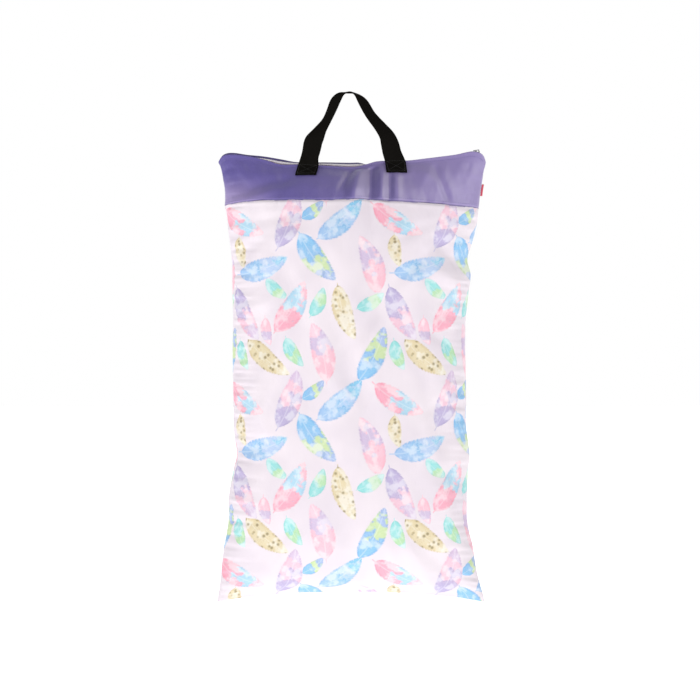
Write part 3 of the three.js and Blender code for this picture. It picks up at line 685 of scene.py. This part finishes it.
def nearest_leaf_group():
    """Keeps whichever is nearer of the leaf found so far and one more leaf. Found holds
    the place along and across the leaf in shares of its half sizes, and the distance."""
    tree = bpy.data.node_groups.new("nearest_leaf", "ShaderNodeTree")
    for name in ("Found", "Sizes", "Place", "Middle", "Own Sizes"):
        tree.interface.new_socket(name, in_out="INPUT", socket_type="NodeSocketVector")
    for name in ("Cos", "Sin"):
        tree.interface.new_socket(name, in_out="INPUT", socket_type="NodeSocketFloat")
    for name in ("Found", "Sizes"):
        tree.interface.new_socket(name, in_out="OUTPUT", socket_type="NodeSocketVector")
    g = Graph(tree)
    source = g.node("NodeGroupInput").outputs
    half, repeat = (0.5, 0.5, 0), (*REPEAT, 1)
    shares = g.vector("DIVIDE", g.vector("SUBTRACT", source["Place"], source["Middle"]), repeat)
    wrapped = g.vector("FRACTION", g.vector("ADD", shares, half))
    x, y, _ = g.split(g.vector("MULTIPLY", g.vector("SUBTRACT", wrapped, half), repeat))
    cos, sin = source["Cos"], source["Sin"]
    along = g.math("ADD", g.math("MULTIPLY", x, cos), g.math("MULTIPLY", y, sin))
    beside = g.math("SUBTRACT", g.math("MULTIPLY", y, cos), g.math("MULTIPLY", x, sin))
    own = g.vector("DIVIDE", g.join(along, beside, 0.0), source["Own Sizes"])
    far = g.vector("LENGTH", own)
    t, w, _ = g.split(own)
    nearer = g.math("LESS_THAN", far, g.split(source["Found"])[2])
    end = g.node("NodeGroupOutput")
    g.put(end.inputs["Found"], g.mix_vector(nearer, source["Found"], g.join(t, w, far)))
    g.put(end.inputs["Sizes"], g.mix_vector(nearer, source["Sizes"], source["Own Sizes"]))
    return tree


def ramp(g, value, stops):
    """One plain colour for each step of a value."""
    n = g.node("ShaderNodeValToRGB")
    n.color_ramp.interpolation = "CONSTANT"
    elements = n.color_ramp.elements
    while len(elements) > 1:
        elements.remove(elements[-1])
    elements[0].position, elements[0].color = stops[0]
    for place, colour in stops[1:]:
        elements.new(place).color = colour
    g.put(n.inputs[0], value)
    return n.outputs[0]


def print_leaves(g, uv, ground):
    """The ground with the watercolour leaves painted on it."""
    tree = nearest_leaf_group()
    found, sizes = (0, 0, 9), (1, 1, 0)
    for i in range(len(LEAVES["x"])):
        leaf = {name: float(LEAVES[name][i]) for name in LEAVES}
        n = g.node("ShaderNodeGroup")
        n.node_tree = tree
        values = {
            "Found": found,
            "Sizes": sizes,
            "Place": uv,
            "Middle": (leaf["x"], leaf["y"], 0),
            "Own Sizes": (leaf["length"] / 2, leaf["width"] / 2, (leaf["kind"] + 0.5) / KIND_STEPS + i),
            "Cos": math.cos(math.radians(leaf["turn"])),
            "Sin": math.sin(math.radians(leaf["turn"])),
        }
        for key, value in values.items():
            g.put(n.inputs[key], value)
        found, sizes = n.outputs["Found"], n.outputs["Sizes"]
    t, w, _ = g.split(found)
    half_length, half_width, code = g.split(sizes)
    along, beside = g.math("MULTIPLY", t, half_length), g.math("MULTIPLY", w, half_width)
    kind = g.math("FRACT", code)
    own = g.join(along, beside, g.math("MULTIPLY", g.math("FLOOR", code), 61.0))
    wash = g.split(g.noise(own, 0.07, 2.5, 0.5, colour=True))
    grain = g.noise(own, 0.5, 3.0, 0.6)

    # The blade: widest nearer the stalk, slightly curved, nicked where side veins end.
    t2 = g.math("MULTIPLY", t, t)
    centre = g.math("SUBTRACT", w, g.math("MULTIPLY_ADD", t2, 0.3, -0.1))
    size = g.math("ABSOLUTE", centre)
    room = g.math("MAXIMUM", g.math("SUBTRACT", 1.0, t2), 0.0)
    profile = g.math("MULTIPLY", g.math("POWER", room, 0.62), g.math("MULTIPLY_ADD", t, -0.2, 0.95))
    slant = g.math("SUBTRACT", along, g.math("MULTIPLY", g.math("MULTIPLY", size, half_width), 1.1))
    pitch = g.math("MULTIPLY_ADD", half_length, 0.06, 3.2)
    between = g.math("FRACT", g.math("DIVIDE", slant, pitch))
    vein = g.math("ABSOLUTE", g.math("SUBTRACT", between, 0.5))
    ragged = g.math("MULTIPLY_ADD", grain, 0.26, -0.13)
    inside = g.math("ADD", g.math("SUBTRACT", profile, size), ragged)
    inside = g.math("SUBTRACT", inside, g.math("MULTIPLY", g.range(vein, 0.34, 0.5), 0.08))
    mask = g.range(inside, -0.02, 0.13)

    # Three colours run into one another, pool at the rim and thin out at the veins.
    first, second, third = (
        ramp(g, kind, [(k / KIND_STEPS, WASHES[KINDS[k]][j]) for k in range(len(KINDS))])
        for j in range(3)
    )
    tone = g.math("ADD", t, g.math("MULTIPLY_ADD", wash[0], 2.0, -1.0))
    colour = g.mix(g.range(tone, -0.7, 0.7), first, second)
    patch = g.math("SUBTRACT", 1.0, g.math("ABSOLUTE", g.math("MULTIPLY_ADD", tone, 2.6, -0.7)))
    colour = g.mix(g.math("MULTIPLY", g.range(patch, -0.1, 0.6), 0.9), colour, third)
    line = g.math("MULTIPLY", g.range(patch, -0.12, 0.0), g.range(patch, 0.0, 0.12, 1.0, 0.0))
    pool = g.math("MULTIPLY", g.range(inside, 0.05, 0.32, 1.0, 0.0), 0.45)
    pool = g.math("MAXIMUM", pool, g.range(grain, 0.52, 0.75, 0.0, 0.35))
    pool = g.math("MAXIMUM", pool, g.math("MULTIPLY", line, 0.5))
    colour = g.mix(pool, colour, g.mix(1.0, colour, colour, "MULTIPLY"))
    light = g.mix(0.55, colour, (1, 1, 1, 1))
    thin = g.math("MULTIPLY", g.range(vein, 0.4, 0.5), 0.22)
    thin = g.math("MAXIMUM", thin, g.range(wash[2], 0.45, 0.62, 0.0, 0.8))
    rib = g.math("MULTIPLY", g.range(size, 0.02, 0.08, 1.0, 0.0), 0.45)
    colour = g.mix(g.math("MAXIMUM", thin, rib), colour, light)

    # Olive blots on the gold leaves only.
    spots = g.node("ShaderNodeTexVoronoi", _feature="F1")
    g.put(spots.inputs["Vector"], own)
    g.put(spots.inputs["Scale"], 0.12)
    blot = g.range(spots.outputs["Distance"], 0.12, 0.42, 0.8, 0.0)
    low = KINDS.index("gold") / KIND_STEPS
    high = low + 1 / KIND_STEPS
    gold = g.math("MULTIPLY", g.math("GREATER_THAN", kind, low), g.math("LESS_THAN", kind, high))
    colour = g.mix(g.math("MULTIPLY", blot, gold), colour, srgb(140, 122, 66))

    stalk = g.range(size, 0.03, 0.07, 0.8, 0.0)
    reach = g.math("MULTIPLY", g.range(t, -1.2, -1.14), g.range(t, -0.95, -0.88, 1.0, 0.0))
    strength = g.math("MAXIMUM", g.math("MULTIPLY", mask, 0.96), g.math("MULTIPLY", stalk, reach))
    return g.mix(strength, ground, colour)


def print_material():
    """The pouch's cloth: smooth, pale, with the print of leaves."""
    m, g, shader = new_material("print_cloth", Sheen_Weight=0.08, Sheen_Roughness=0.5)
    uv = cloth_uv(g)
    broad = g.noise(uv, 0.012, 2.0)
    ground = g.mix(g.range(broad, 0.35, 0.65), srgb(240, 230, 236), srgb(233, 223, 231))
    colour = print_leaves(g, uv, ground)
    thread = g.noise(uv, 1.6, 2.0)
    colour = g.mix(g.range(thread, 0.3, 0.75, 0.0, 0.05), colour, srgb(196, 186, 204))
    rough = g.range(g.noise(uv, 0.25, 3.0), 0.3, 0.7, 0.56, 0.7)
    weave = weave_height(g, uv, 0.55)
    crease = g.noise(g.vector("MULTIPLY", uv, (1.0, 0.55, 1.0)), 0.05, 5.0, 0.62)
    normal = g.bump(weave, 0.00005, 0.5)
    normal = g.bump(crease, 0.0016, 0.55, normal)
    surface(g, shader, colour, rough, normal)
    return m


def band_material():
    """The band's plain lilac cloth, with a soft nap, painted light and shade, and a dark line at the
    turned-in seam.
    """
    m, g, shader = new_material(
        "band_cloth", Sheen_Weight=0.35, Sheen_Roughness=0.35, Specular_IOR_Level=0.5
    )
    uv = cloth_uv(g)
    place = g.split(g.node("ShaderNodeTexCoord").outputs["Object"])
    uneven = g.noise(uv, 0.03, 4.0, 0.6)
    # Painted light: the cloth is painted darker at the left and paler at the right, as light and sheen
    # from the right fall on it, with some random unevenness.
    tone = g.range(g.math("ADD", place[0], g.math("MULTIPLY_ADD", uneven, 0.08, -0.04)), -0.12, 0.13)
    painted_corner_highlight = g.math("MULTIPLY", g.range(place[0], -0.09, -0.19), g.range(place[2], -0.122, -0.16))
    colour = g.mix(tone, srgb(101, 90, 161), srgb(146, 131, 184))
    # Painted light: where the cloth faces right it is painted paler, a painted sheen highlight,
    # and where it faces left it is painted deeper, a painted shade, above all in the creased middle.
    facing = g.split(g.node("ShaderNodeNewGeometry").outputs["Normal"])[0]
    off_middle = g.math("ABSOLUTE", g.math("SUBTRACT", place[0], 0.03))
    pale = g.math("MULTIPLY", g.range(facing, 0.0, 0.42), g.range(off_middle, 0.05, 0.1, 0.45, 0.16))
    deep = g.math("MULTIPLY", g.range(facing, 0.0, -0.45), g.range(off_middle, 0.05, 0.1, 0.55, 0.25))
    colour = g.mix(pale, colour, srgb(200, 188, 216))
    colour = g.mix(deep, colour, srgb(68, 58, 122))
    # A painted highlight on the band's lower left corner.
    colour = g.mix(g.math("MULTIPLY", painted_corner_highlight, 0.75), colour, srgb(172, 154, 200))
    colour = g.mix(g.range(g.noise(uv, 0.5, 3.0), 0.3, 0.8, 0.0, 0.1), colour, srgb(160, 151, 190))
    turned_in = g.range(g.split(uv)[1], -BAND_LENGTH + 2.2, -BAND_LENGTH + 0.4, 0.0, 0.55)
    colour = g.mix(turned_in, colour, srgb(52, 44, 92))
    rough = g.range(g.noise(uv, 0.2, 3.0), 0.3, 0.7, 0.36, 0.48)
    weave = weave_height(g, uv, 0.5)
    crease = g.noise(g.vector("MULTIPLY", uv, (1.0, 0.6, 1.0)), 0.07, 5.0, 0.6)
    normal = g.bump(weave, 0.00004, 0.5)
    normal = g.bump(crease, 0.0018, 0.3, normal)
    surface(g, shader, colour, rough, normal)
    return m


def webbing_material():
    """Black ribbed webbing with chevrons and a little fuzz."""
    m, g, shader = new_material("webbing", Specular_IOR_Level=0.0)
    uv = cloth_uv(g)
    x, y, _ = g.split(uv)
    chevron = g.math("PINGPONG", x, 4.0)
    rows_of = g.math("FRACT", g.math("DIVIDE", g.math("ADD", y, chevron), 1.5))
    thread = g.math("ABSOLUTE", g.math("SUBTRACT", rows_of, 0.5))
    rib = g.math("ABSOLUTE", g.math("SINE", g.math("MULTIPLY", x, math.pi)))
    height = g.math("ADD", g.math("MULTIPLY", thread, 1.2), g.math("MULTIPLY", rib, 0.5))
    fuzz = g.noise(uv, 3.0, 3.0, 0.7)
    colour = g.mix(g.range(height, 0.2, 1.1), srgb(17, 16, 15), srgb(31, 29, 26))
    colour = g.mix(g.range(fuzz, 0.55, 0.8, 0.0, 0.25), colour, srgb(44, 42, 39))
    rough = g.range(fuzz, 0.3, 0.7, 0.62, 0.85)
    surface(g, shader, colour, rough, g.bump(height, 0.0003, 0.8))
    return m


def woven_material(name, dark, light, pitch, rough):
    """Plain woven tape of the given thread pitch in mm, with faint stains."""
    m, g, shader = new_material(name, Sheen_Weight=0.15, Sheen_Roughness=0.4)
    uv = cloth_uv(g)
    height = weave_height(g, uv, pitch)
    colour = g.mix(g.range(height, 0.1, 0.9), dark, light)
    stain = g.noise(uv, 0.2, 3.0)
    colour = g.mix(g.range(stain, 0.45, 0.8, 0.0, 0.2), colour, dark)
    roughness = g.range(stain, 0.3, 0.7, rough - 0.05, rough + 0.1)
    surface(g, shader, colour, roughness, g.bump(height, 0.00012, 0.7))
    return m


def hard_material(name, base, worn, metallic, rough):
    """Moulded nylon or satin metal, with fine scratches and worn spots."""
    m, g, shader = new_material(name, Metallic=metallic)
    place = g.node("ShaderNodeTexCoord").outputs["Object"]
    spots = g.noise(place, 420.0, 4.0, 0.6)
    lines = g.noise(g.vector("MULTIPLY", place, (180.0, 1800.0, 1800.0)), 1.0, 3.0)
    colour = g.mix(g.range(spots, 0.35, 0.7), base, worn)
    roughness = g.range(lines, 0.3, 0.7, rough - 0.08, rough + 0.12)
    surface(g, shader, colour, roughness, g.bump(lines, 0.00003, 0.6))
    return m


def thread_material(name, colour, light):
    """Twisted sewing thread."""
    m, g, shader = new_material(name, Sheen_Weight=0.2)
    place = g.node("ShaderNodeTexCoord").outputs["Object"]
    twist = g.noise(place, 2400.0, 2.0)
    mixed = g.mix(g.range(twist, 0.3, 0.7), colour, light)
    rough = g.range(twist, 0.3, 0.7, 0.5, 0.7)
    surface(g, shader, mixed, rough, g.bump(twist, 0.0001, 0.5))
    return m


PRINT = print_material()
LILAC = band_material()
BLACK = webbing_material()
TAPE = woven_material("zip_tape", srgb(226, 208, 220), srgb(250, 238, 245), 0.7, 0.75)
RED = woven_material("label_cloth", srgb(190, 44, 72), srgb(234, 92, 114), 0.45, 0.6)
NYLON = hard_material("zip_teeth", srgb(244, 236, 240), srgb(252, 248, 250), 0.0, 0.4)
METAL = hard_material("zip_metal", srgb(150, 150, 152), srgb(186, 186, 188), 1.0, 0.34)
THREAD_LILAC = thread_material("thread_lilac", srgb(98, 88, 150), srgb(140, 130, 180))
THREAD_BLACK = thread_material("thread_black", srgb(12, 11, 11), srgb(24, 23, 22))


def finish_piece(made, body, node):
    """Joins a finished piece to its body, and puts it in the place of its solid."""
    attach(made, body)
    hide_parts(node)
    return made


# The band and the pouch.
band_piece = shell("band", BAND_COLUMNS, band_share, LILAC, False, WALL)
finish_piece(band_piece, "bag", "band")
pouch_share = np.concatenate(
    [
        np.linspace(0, 0.012, 7, endpoint=False),
        np.linspace(0.012, 0.95, 168, endpoint=False),
        np.linspace(0.95, 1, 18),
    ]
)
pouch_piece = shell("pouch", POUCH_COLUMNS, pouch_share, PRINT, True, WALL)
finish_piece(pouch_piece, "bag", "pouch")


def stitches(name, path, normals, material, pitch, size):
    """A row of short thread beads along a path, as one mesh in mm."""
    run = arc(path, 0)
    count = int(run[-1] / pitch)
    at = (np.arange(count) + 0.5) * run[-1] / count
    middle = np.stack([np.interp(at, run, path[:, i]) for i in range(3)], -1)
    up = np.stack([np.interp(at, run, normals[:, i]) for i in range(3)], -1)
    ahead = np.stack([np.interp(at + 0.5, run, path[:, i]) for i in range(3)], -1)
    along = ahead - middle
    along /= np.maximum(np.linalg.norm(along, axis=1, keepdims=True), 1e-9)
    side = np.cross(along, up)
    long, wide = pitch * 0.36, size
    profile = [(-1, 0.25), (-0.6, 0.8), (0, 1), (0.6, 0.8), (1, 0.25)]
    sides = 6
    points, faces = [], []
    for k in range(count):
        base = len(points)
        for t, r in profile:
            for j in range(sides):
                angle = 2 * math.pi * j / sides
                points.append(
                    middle[k]
                    + along[k] * t * long
                    + side[k] * math.cos(angle) * r * wide
                    + up[k] * (math.sin(angle) * r * wide + wide * 0.2)
                )
        for ring_at in range(len(profile) - 1):
            for j in range(sides):
                n = (j + 1) % sides
                a, b = base + ring_at * sides, base + (ring_at + 1) * sides
                faces.append((a + j, a + n, b + n, b + j))
        faces.append([base + j for j in range(sides)][::-1])
        faces.append([base + (len(profile) - 1) * sides + j for j in range(sides)])
    made = mesh_object(name, points, faces, material)
    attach(made, "bag")
    return made


def along_band(face, drop):
    """A line just over a face of the band, this far below its top, with its normals."""
    a = np.linspace(-0.985, 0.985, 260)
    share = drop / BAND_RUN
    grid = cloth("band", face, a, np.array([share - 0.004, share, share + 0.004]))
    normals = grid_normals(grid, False)[1]
    flip = np.sign(normals[:, 1:2]) * (-1 if face == "front" else 1)
    normals = normals * np.where(flip == 0, 1, flip)
    return grid[1] + normals * STITCH_LIFT, normals


# Rows of stitches round the band: name, distance below its top, pitch and thread in mm.
ROWS = (("zip_stitches_", 3.6, 3.0, 0.3), ("seam_stitches_", BAND_RUN - 4.5, 2.8, 0.26))
for face in ("front", "back"):
    for name, drop, pitch, thread in ROWS:
        path, normal = along_band(face, drop)
        row = stitches(name + face, path, normal, THREAD_LILAC, pitch, thread)


# The zip.
def wall_line(face, x):
    """A line along the inner side of the band's wall, where a tape meets it."""
    sink = smooth(EDGE, "across", "sink", x / HALF) * TAPE_SINK
    points = []
    for xi, si in zip(np.atleast_1d(x), np.atleast_1d(sink)):
        share = np.array([si / BAND_RUN])
        s = sections("band", share)
        half = (s["left"] if xi < 0 else s["right"])[0] - SIDE_WALL
        points.append(cloth("band", face, [xi / half], share, fine=False, thick=WALL)[0, 0])
    return np.array(points)


def unit(v):
    """Vectors of length 1."""
    return v / np.maximum(np.linalg.norm(v, axis=-1, keepdims=True), 1e-9)


# Stations along the zip, wider apart at its right end.
zip_x = np.concatenate(
    [np.linspace(TAPE_START, 178, 184, endpoint=False), np.linspace(178, TAPE_END, 6)]
)
zip_front, zip_back = wall_line("front", zip_x), wall_line("back", zip_x)
zip_middle = (zip_front + zip_back) / 2
zip_across = unit(zip_back - zip_front)
zip_width = np.linalg.norm(zip_back - zip_front, axis=1)
zip_along = unit(np.gradient(zip_middle, axis=0))
zip_up = unit(np.cross(zip_along, zip_across))
kernel = np.ones(9) / 9
padded_up = np.concatenate([np.repeat(zip_up[:1], 4, 0), zip_up, np.repeat(zip_up[-1:], 4, 0)])
zip_up = unit(np.stack([np.convolve(padded_up[:, i], kernel, "valid") for i in range(3)], -1))


def slab(name, grid, thickness, material, lengths):
    """A strip of even thickness round a grid of points, with its cloth lengths."""
    normals = grid_normals(grid, False)
    over = grid + normals * thickness / 2
    under = grid - normals * thickness / 2
    rows_count, columns = grid.shape[:2]
    edge_over = over * 0.72 + under * 0.28
    edge_under = over * 0.28 + under * 0.72
    right = [edge_over[:, -1:], edge_under[:, -1:]]
    left = [edge_under[:, :1], edge_over[:, :1]]
    ring = np.concatenate([over, *right, under[:, ::-1], *left], axis=1)
    count = ring.shape[1]
    u, v = lengths
    first, last = u[:, :1], u[:, -1:]
    around = [u, last + 0.4, last + 0.8, u[:, ::-1] + 100, first + 99.6, first - 0.4]
    u = np.concatenate(around, axis=1)
    v = np.repeat(v, count, axis=1)
    faces, uvs = [], []
    for quad in ring_quads(rows_count, count):
        faces.append(quad)
        for i in quad:
            uvs.append((u[i // count, i % count] * MM, v[i // count, i % count] * MM))
    for row, order in ((0, 1), (rows_count - 1, -1)):
        cap = [row * count + i for i in range(count)][::order]
        faces.append(cap)
        for i in cap:
            uvs.append((u[row, i % count] * MM, v[row, i % count] * MM))
    return mesh_object(name, ring.reshape(-1, 3), faces, material, uvs)


for side, node in ((-1, "tape_front"), (1, "tape_back")):
    away = (zip_x - SLIDER_PLACE) / SLIDER_LENGTH
    inner = 0.6 + 1.2 * np.exp(-(away**2))
    outer = np.maximum(zip_width / 2 - TAPE_MARGIN + 0.7, inner + 0.5)
    t = np.linspace(0, 1, 7)[None, :]
    v = side * (inner[:, None] * (1 - t) + outer[:, None] * t)
    if side > 0:
        v = v[:, ::-1]
    tape_grid = zip_middle[:, None] + zip_across[:, None] * v[..., None]
    tape_grid = tape_grid[:, ::-1]
    run = arc(zip_middle, 0)[:, None]
    tape = slab(node + "_cloth", tape_grid, TAPE_THICKNESS, TAPE, (v[:, ::-1], run))
    finish_piece(tape, "bag", node)


def box_points(centre, ax, ay, az, sx, sy, sz, chamfer):
    """Corners and faces of a chamfered block, in mm."""
    points, faces = [], []
    inset, slope = 1 - chamfer / sx, 2 * chamfer / sz
    levels = [(-1, inset), (-1 + slope, 1), (1 - slope, 1), (1, inset)]
    for level, grow in levels:
        for cx, cy in ((-1, -1), (1, -1), (1, 1), (-1, 1)):
            points.append(
                centre + ax * cx * sx / 2 * grow + ay * cy * sy / 2 * grow + az * level * sz / 2
            )
    for k in range(3):
        for j in range(4):
            n = (j + 1) % 4
            faces.append((k * 4 + j, k * 4 + n, k * 4 + 4 + n, k * 4 + 4 + j))
    faces.append((3, 2, 1, 0))
    faces.append((12, 13, 14, 15))
    return points, faces


def teeth_piece():
    """Two interlocked rows of teeth, as one mesh."""
    lift = TAPE_THICKNESS / 2 + PIECE_GAP + TEETH_MARGIN + CHAIN_THICKNESS / 2
    run = arc(zip_middle, 0)
    start, end = np.interp([CHAIN_START, SLIDER_PLACE - 1.5], zip_middle[:, 0], run)
    count = int((end - start) / TEETH_PITCH)
    points, faces = [], []
    for k in range(count):
        at = start + (k + 0.5) * TEETH_PITCH
        middle, across, up = (
            np.array([np.interp(at, run, line[:, i]) for i in range(3)])
            for line in (zip_middle, zip_across, zip_up)
        )
        along = unit(np.cross(across, up))
        up = unit(np.cross(along, across))
        side = 1 if k % 2 else -1
        centre = middle + up * lift + across * side * CHAIN_WIDTH * 0.13
        corners, sides = box_points(centre, along, across, up, *TOOTH, TOOTH_CHAMFER)
        base = len(points)
        points += corners
        faces += [tuple(base + i for i in side_face) for side_face in sides]
    return mesh_object("zip_teeth_rows", points, faces, NYLON, smooth_shade=False)


finish_piece(teeth_piece(), "bag", "teeth")


# The handle.
def band_contact(x, share, lift):
    """Points just over the smooth front of the band."""
    shares = np.array([max(share - 0.02, 0), share, share + 0.02])
    out = []
    for xi in x:
        s = sections("band", shares)
        points = []
        for dx in (-2, 0, 2):
            halfs = s["left"] if xi + dx < 0 else s["right"]
            line = [
                cloth("band", "front", [(xi + dx) / halfs[k]], shares[k : k + 1], fine=False)[0, 0]
                for k in range(3)
            ]
            points.append(line)
        grid = np.array(points)
        normal = unit(np.cross(grid[1, 2] - grid[1, 0], grid[2, 1] - grid[0, 1]))
        if normal[1] > 0:
            normal = -normal
        out.append(grid[1, 1] + normal * lift)
    return np.array(out)


def handle_piece():
    """The webbing from one sewn end over the loop to the other, and its middle grid."""
    columns = np.linspace(-0.5, 0.5, 13) * WEBBING_WIDTH
    lift = WEBBING_THICKNESS / 2 + HANDLE_GAP - 0.3

    def sewn(end, way):
        cut, edge, reach = SEWN[end]
        lines = []
        for t in np.linspace(0, 1, 12):
            middle = (cut + (edge - cut) * t) * HANDLE_SPAN / 2
            lines.append(band_contact(middle + way * columns, reach * (1 - t), lift))
        return lines

    left = sewn("left", 1)
    right = sewn("right", -1)[::-1]
    edge_depth = left[-1][6][1]
    lean = np.maximum(0, STRAP["drop"]) / STRAP["drop"][0]
    stations = np.stack(
        [STRAP["across"] * HANDLE_SPAN / 2, edge_depth * lean, -STRAP["drop"] * HANDLE_RISE], -1
    )
    chord = arc(stations, 0)
    line = {"s": chord, "turn": STRAP["turn"].astype(float)}
    line |= {axis: stations[:, k] for k, axis in enumerate("xyz")}
    at = np.linspace(0, chord[-1], 110)
    middle = np.stack([smooth(line, "s", axis, at) for axis in "xyz"], -1)
    turn = np.radians(smooth(line, "s", "turn", at))[:, None]
    tangent = unit(np.gradient(middle, axis=0))
    flat = unit(np.stack([tangent[:, 2], 0 * at, -tangent[:, 0]], -1))
    width = unit(flat * np.cos(turn) + np.array([0, -1, 0]) * np.sin(turn))
    # Webbing that is twisted cups a little across its width.
    normal = unit(np.cross(width, tangent))
    cup = WEBBING_CUP * (1 - (2 * columns / WEBBING_WIDTH) ** 2)
    free = middle[:, None] + width[:, None] * columns[None, :, None]
    free = free + normal[:, None] * cup[None, :, None]
    grid = np.concatenate([np.array(left), free, np.array(right)])
    for _ in range(3):
        grid[1:-1] = (grid[:-2] + 2 * grid[1:-1] + grid[2:]) / 4
    run = arc(grid, 0).mean(axis=1, keepdims=True)
    across = np.repeat(columns[None, :], len(grid), axis=0)
    made = slab("handle_webbing", grid, WEBBING_THICKNESS, BLACK, (across, run))
    return made, grid


handle, handle_grid = handle_piece()
finish_piece(handle, "bag", "handle")


def at_places(grid, row, column):
    """The grid's points at places between its rows and columns."""
    r = np.minimum(row.astype(int), len(grid) - 2)
    c = np.minimum(column.astype(int), grid.shape[1] - 2)
    down, right = (row - r)[:, None], (column - c)[:, None]
    return (
        grid[r, c] * (1 - down) * (1 - right)
        + grid[r + 1, c] * down * (1 - right)
        + grid[r, c + 1] * (1 - down) * right
        + grid[r + 1, c + 1] * down * right
    )


def sewn_box(name, grid, rows_at):
    """The box of stitches with a cross that holds a webbing end."""
    part = grid[rows_at[0] : rows_at[1]]
    normals = grid_normals(part, False)
    facing = np.where(normals[..., 1:2] > 0, -1, 1)
    part = part + normals * facing * (WEBBING_THICKNESS / 2 + 0.02)
    last = len(part) - 1
    n = part.shape[1] - 1
    ways = [
        [(0, 1), (0, n - 1)],
        [(last, 1), (last, n - 1)],
        [(0, 1), (last, 1)],
        [(0, n - 1), (last, n - 1)],
        [(0, 1), (last, n - 1)],
        [(0, n - 1), (last, 1)],
    ]
    for k, (a, b) in enumerate(ways):
        t = np.linspace(0, 1, 12)
        r, c = a[0] + (b[0] - a[0]) * t, a[1] + (b[1] - a[1]) * t
        path, up = at_places(part, r, c), at_places(normals * facing, r, c)
        row = stitches(f"{name}_{k}", path, up, THREAD_BLACK, SEWN_PITCH, SEWN_THREAD)


sewn_box("handle_stitches_left", handle_grid, (1, 11))
sewn_box("handle_stitches_right", handle_grid, (len(handle_grid) - 11, len(handle_grid) - 1))


# The slider and its pull keep the solids' form, and the label is woven tape.
for node in ("slider", "pull_tab"):
    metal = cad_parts[node]
    metal.data.materials.clear()
    metal.data.materials.append(METAL)


def label_piece():
    """A short woven tape that stands out of the right side seam, bent to the back."""
    turn = math.radians(LABEL_TURN)
    lines = []
    drops = np.linspace(LABEL_TOP, LABEL_BOTTOM, 12)
    for drop in drops:
        root = cloth("band", "front", [1.0], np.array([drop / BAND_RUN]), fine=False)[0, 0]
        root[0] += PIECE_GAP
        t = np.linspace(0, 1, 9)
        out = np.stack([np.cos(turn * t), np.sin(turn * t), 0 * t], -1) * (t * LABEL_REACH)[:, None]
        lines.append(root + out)
    grid = np.array(lines)
    reach = np.repeat(np.linspace(0, LABEL_REACH, 9)[None, :], 12, axis=0)
    return slab("side_label_cloth", grid, LABEL_THICKNESS, RED, (reach, drops[:, None]))


finish_piece(label_piece(), "bag", "side_label")

# The camera, at the photo's place: level with the middle of the picture. The frame's origin
# is at the axis place, in pixels.
VIEW = 700
DISTANCE = 2200
AXIS_X = 351
AXIS_Y = 93.4
FLOOR_LEVEL = -1.05
scene = bpy.context.scene
camera = bpy.data.objects.new("camera", bpy.data.cameras.new("camera"))
scene.collection.objects.link(camera)
camera.data.sensor_width = 36
camera.data.lens = 36 * DISTANCE / (VIEW * PIXEL)
camera.location = Vector(((VIEW / 2 - AXIS_X) * PIXEL, -DISTANCE, (AXIS_Y - VIEW / 2) * PIXEL)) * MM
camera.rotation_euler = (math.pi / 2, 0, 0)
camera.data.clip_end = 50
scene.camera = camera

# A pale floor below the hanging bag, and soft studio light.
floor_material, g, shader = new_material("pale_floor", Roughness=0.8)
tex = g.node("ShaderNodeTexCoord").outputs["Object"]
dust = g.range(g.noise(tex, 2.0), 0.3, 0.7)
g.put(shader.inputs["Base Color"], g.mix(dust, (0.93, 0.93, 0.93, 1), (0.95, 0.95, 0.95, 1)))
shader.inputs["Emission Color"].default_value = (1, 1, 1, 1)
shader.inputs["Emission Strength"].default_value = 0.75
bpy.ops.mesh.primitive_plane_add(size=30, location=(0, 0, FLOOR_LEVEL))
floor = bpy.context.object
floor.name = "floor"
floor.data.materials.append(floor_material)

# A white backdrop behind the bag and a dimmer room round it.
world = bpy.data.worlds.new("studio")
scene.world = world
world.use_nodes = True
g = Graph(world.node_tree)
way = g.split(g.node("ShaderNodeTexCoord").outputs["Generated"])[1]
g.put(
    world.node_tree.nodes["Background"].inputs["Color"],
    g.mix(g.range(way, 0.4, 0.8), (0.5, 0.5, 0.51, 1), (1, 1, 1, 1)),
)
world.node_tree.nodes["Background"].inputs["Strength"].default_value = 1.0
scene.view_settings.view_transform = "Standard"


def area(name, place, aim, size, power):
    """A soft light at a place, turned to an aim."""
    light = bpy.data.objects.new(name, bpy.data.lights.new(name, "AREA"))
    light.data.shape = "RECTANGLE"
    light.data.size, light.data.size_y = size
    light.data.energy = power
    light.location = place
    light.rotation_euler = (Vector(aim) - Vector(place)).to_track_quat("-Z", "Y").to_euler()
    scene.collection.objects.link(light)
    return light


area("key", (2.3, -1.9, -0.8), (0.0, 0.0, -0.4), (1.2, 1.2), 13)
area("fill", (-2.3, -1.8, -0.6), (0.0, 0.0, -0.4), (1.6, 1.6), 20)
gloss = area("gloss", (1.3, -0.7, 0.8), (0.1, 0.0, -0.13), (1.1, 1.1), 12)
gloss.visible_diffuse = False
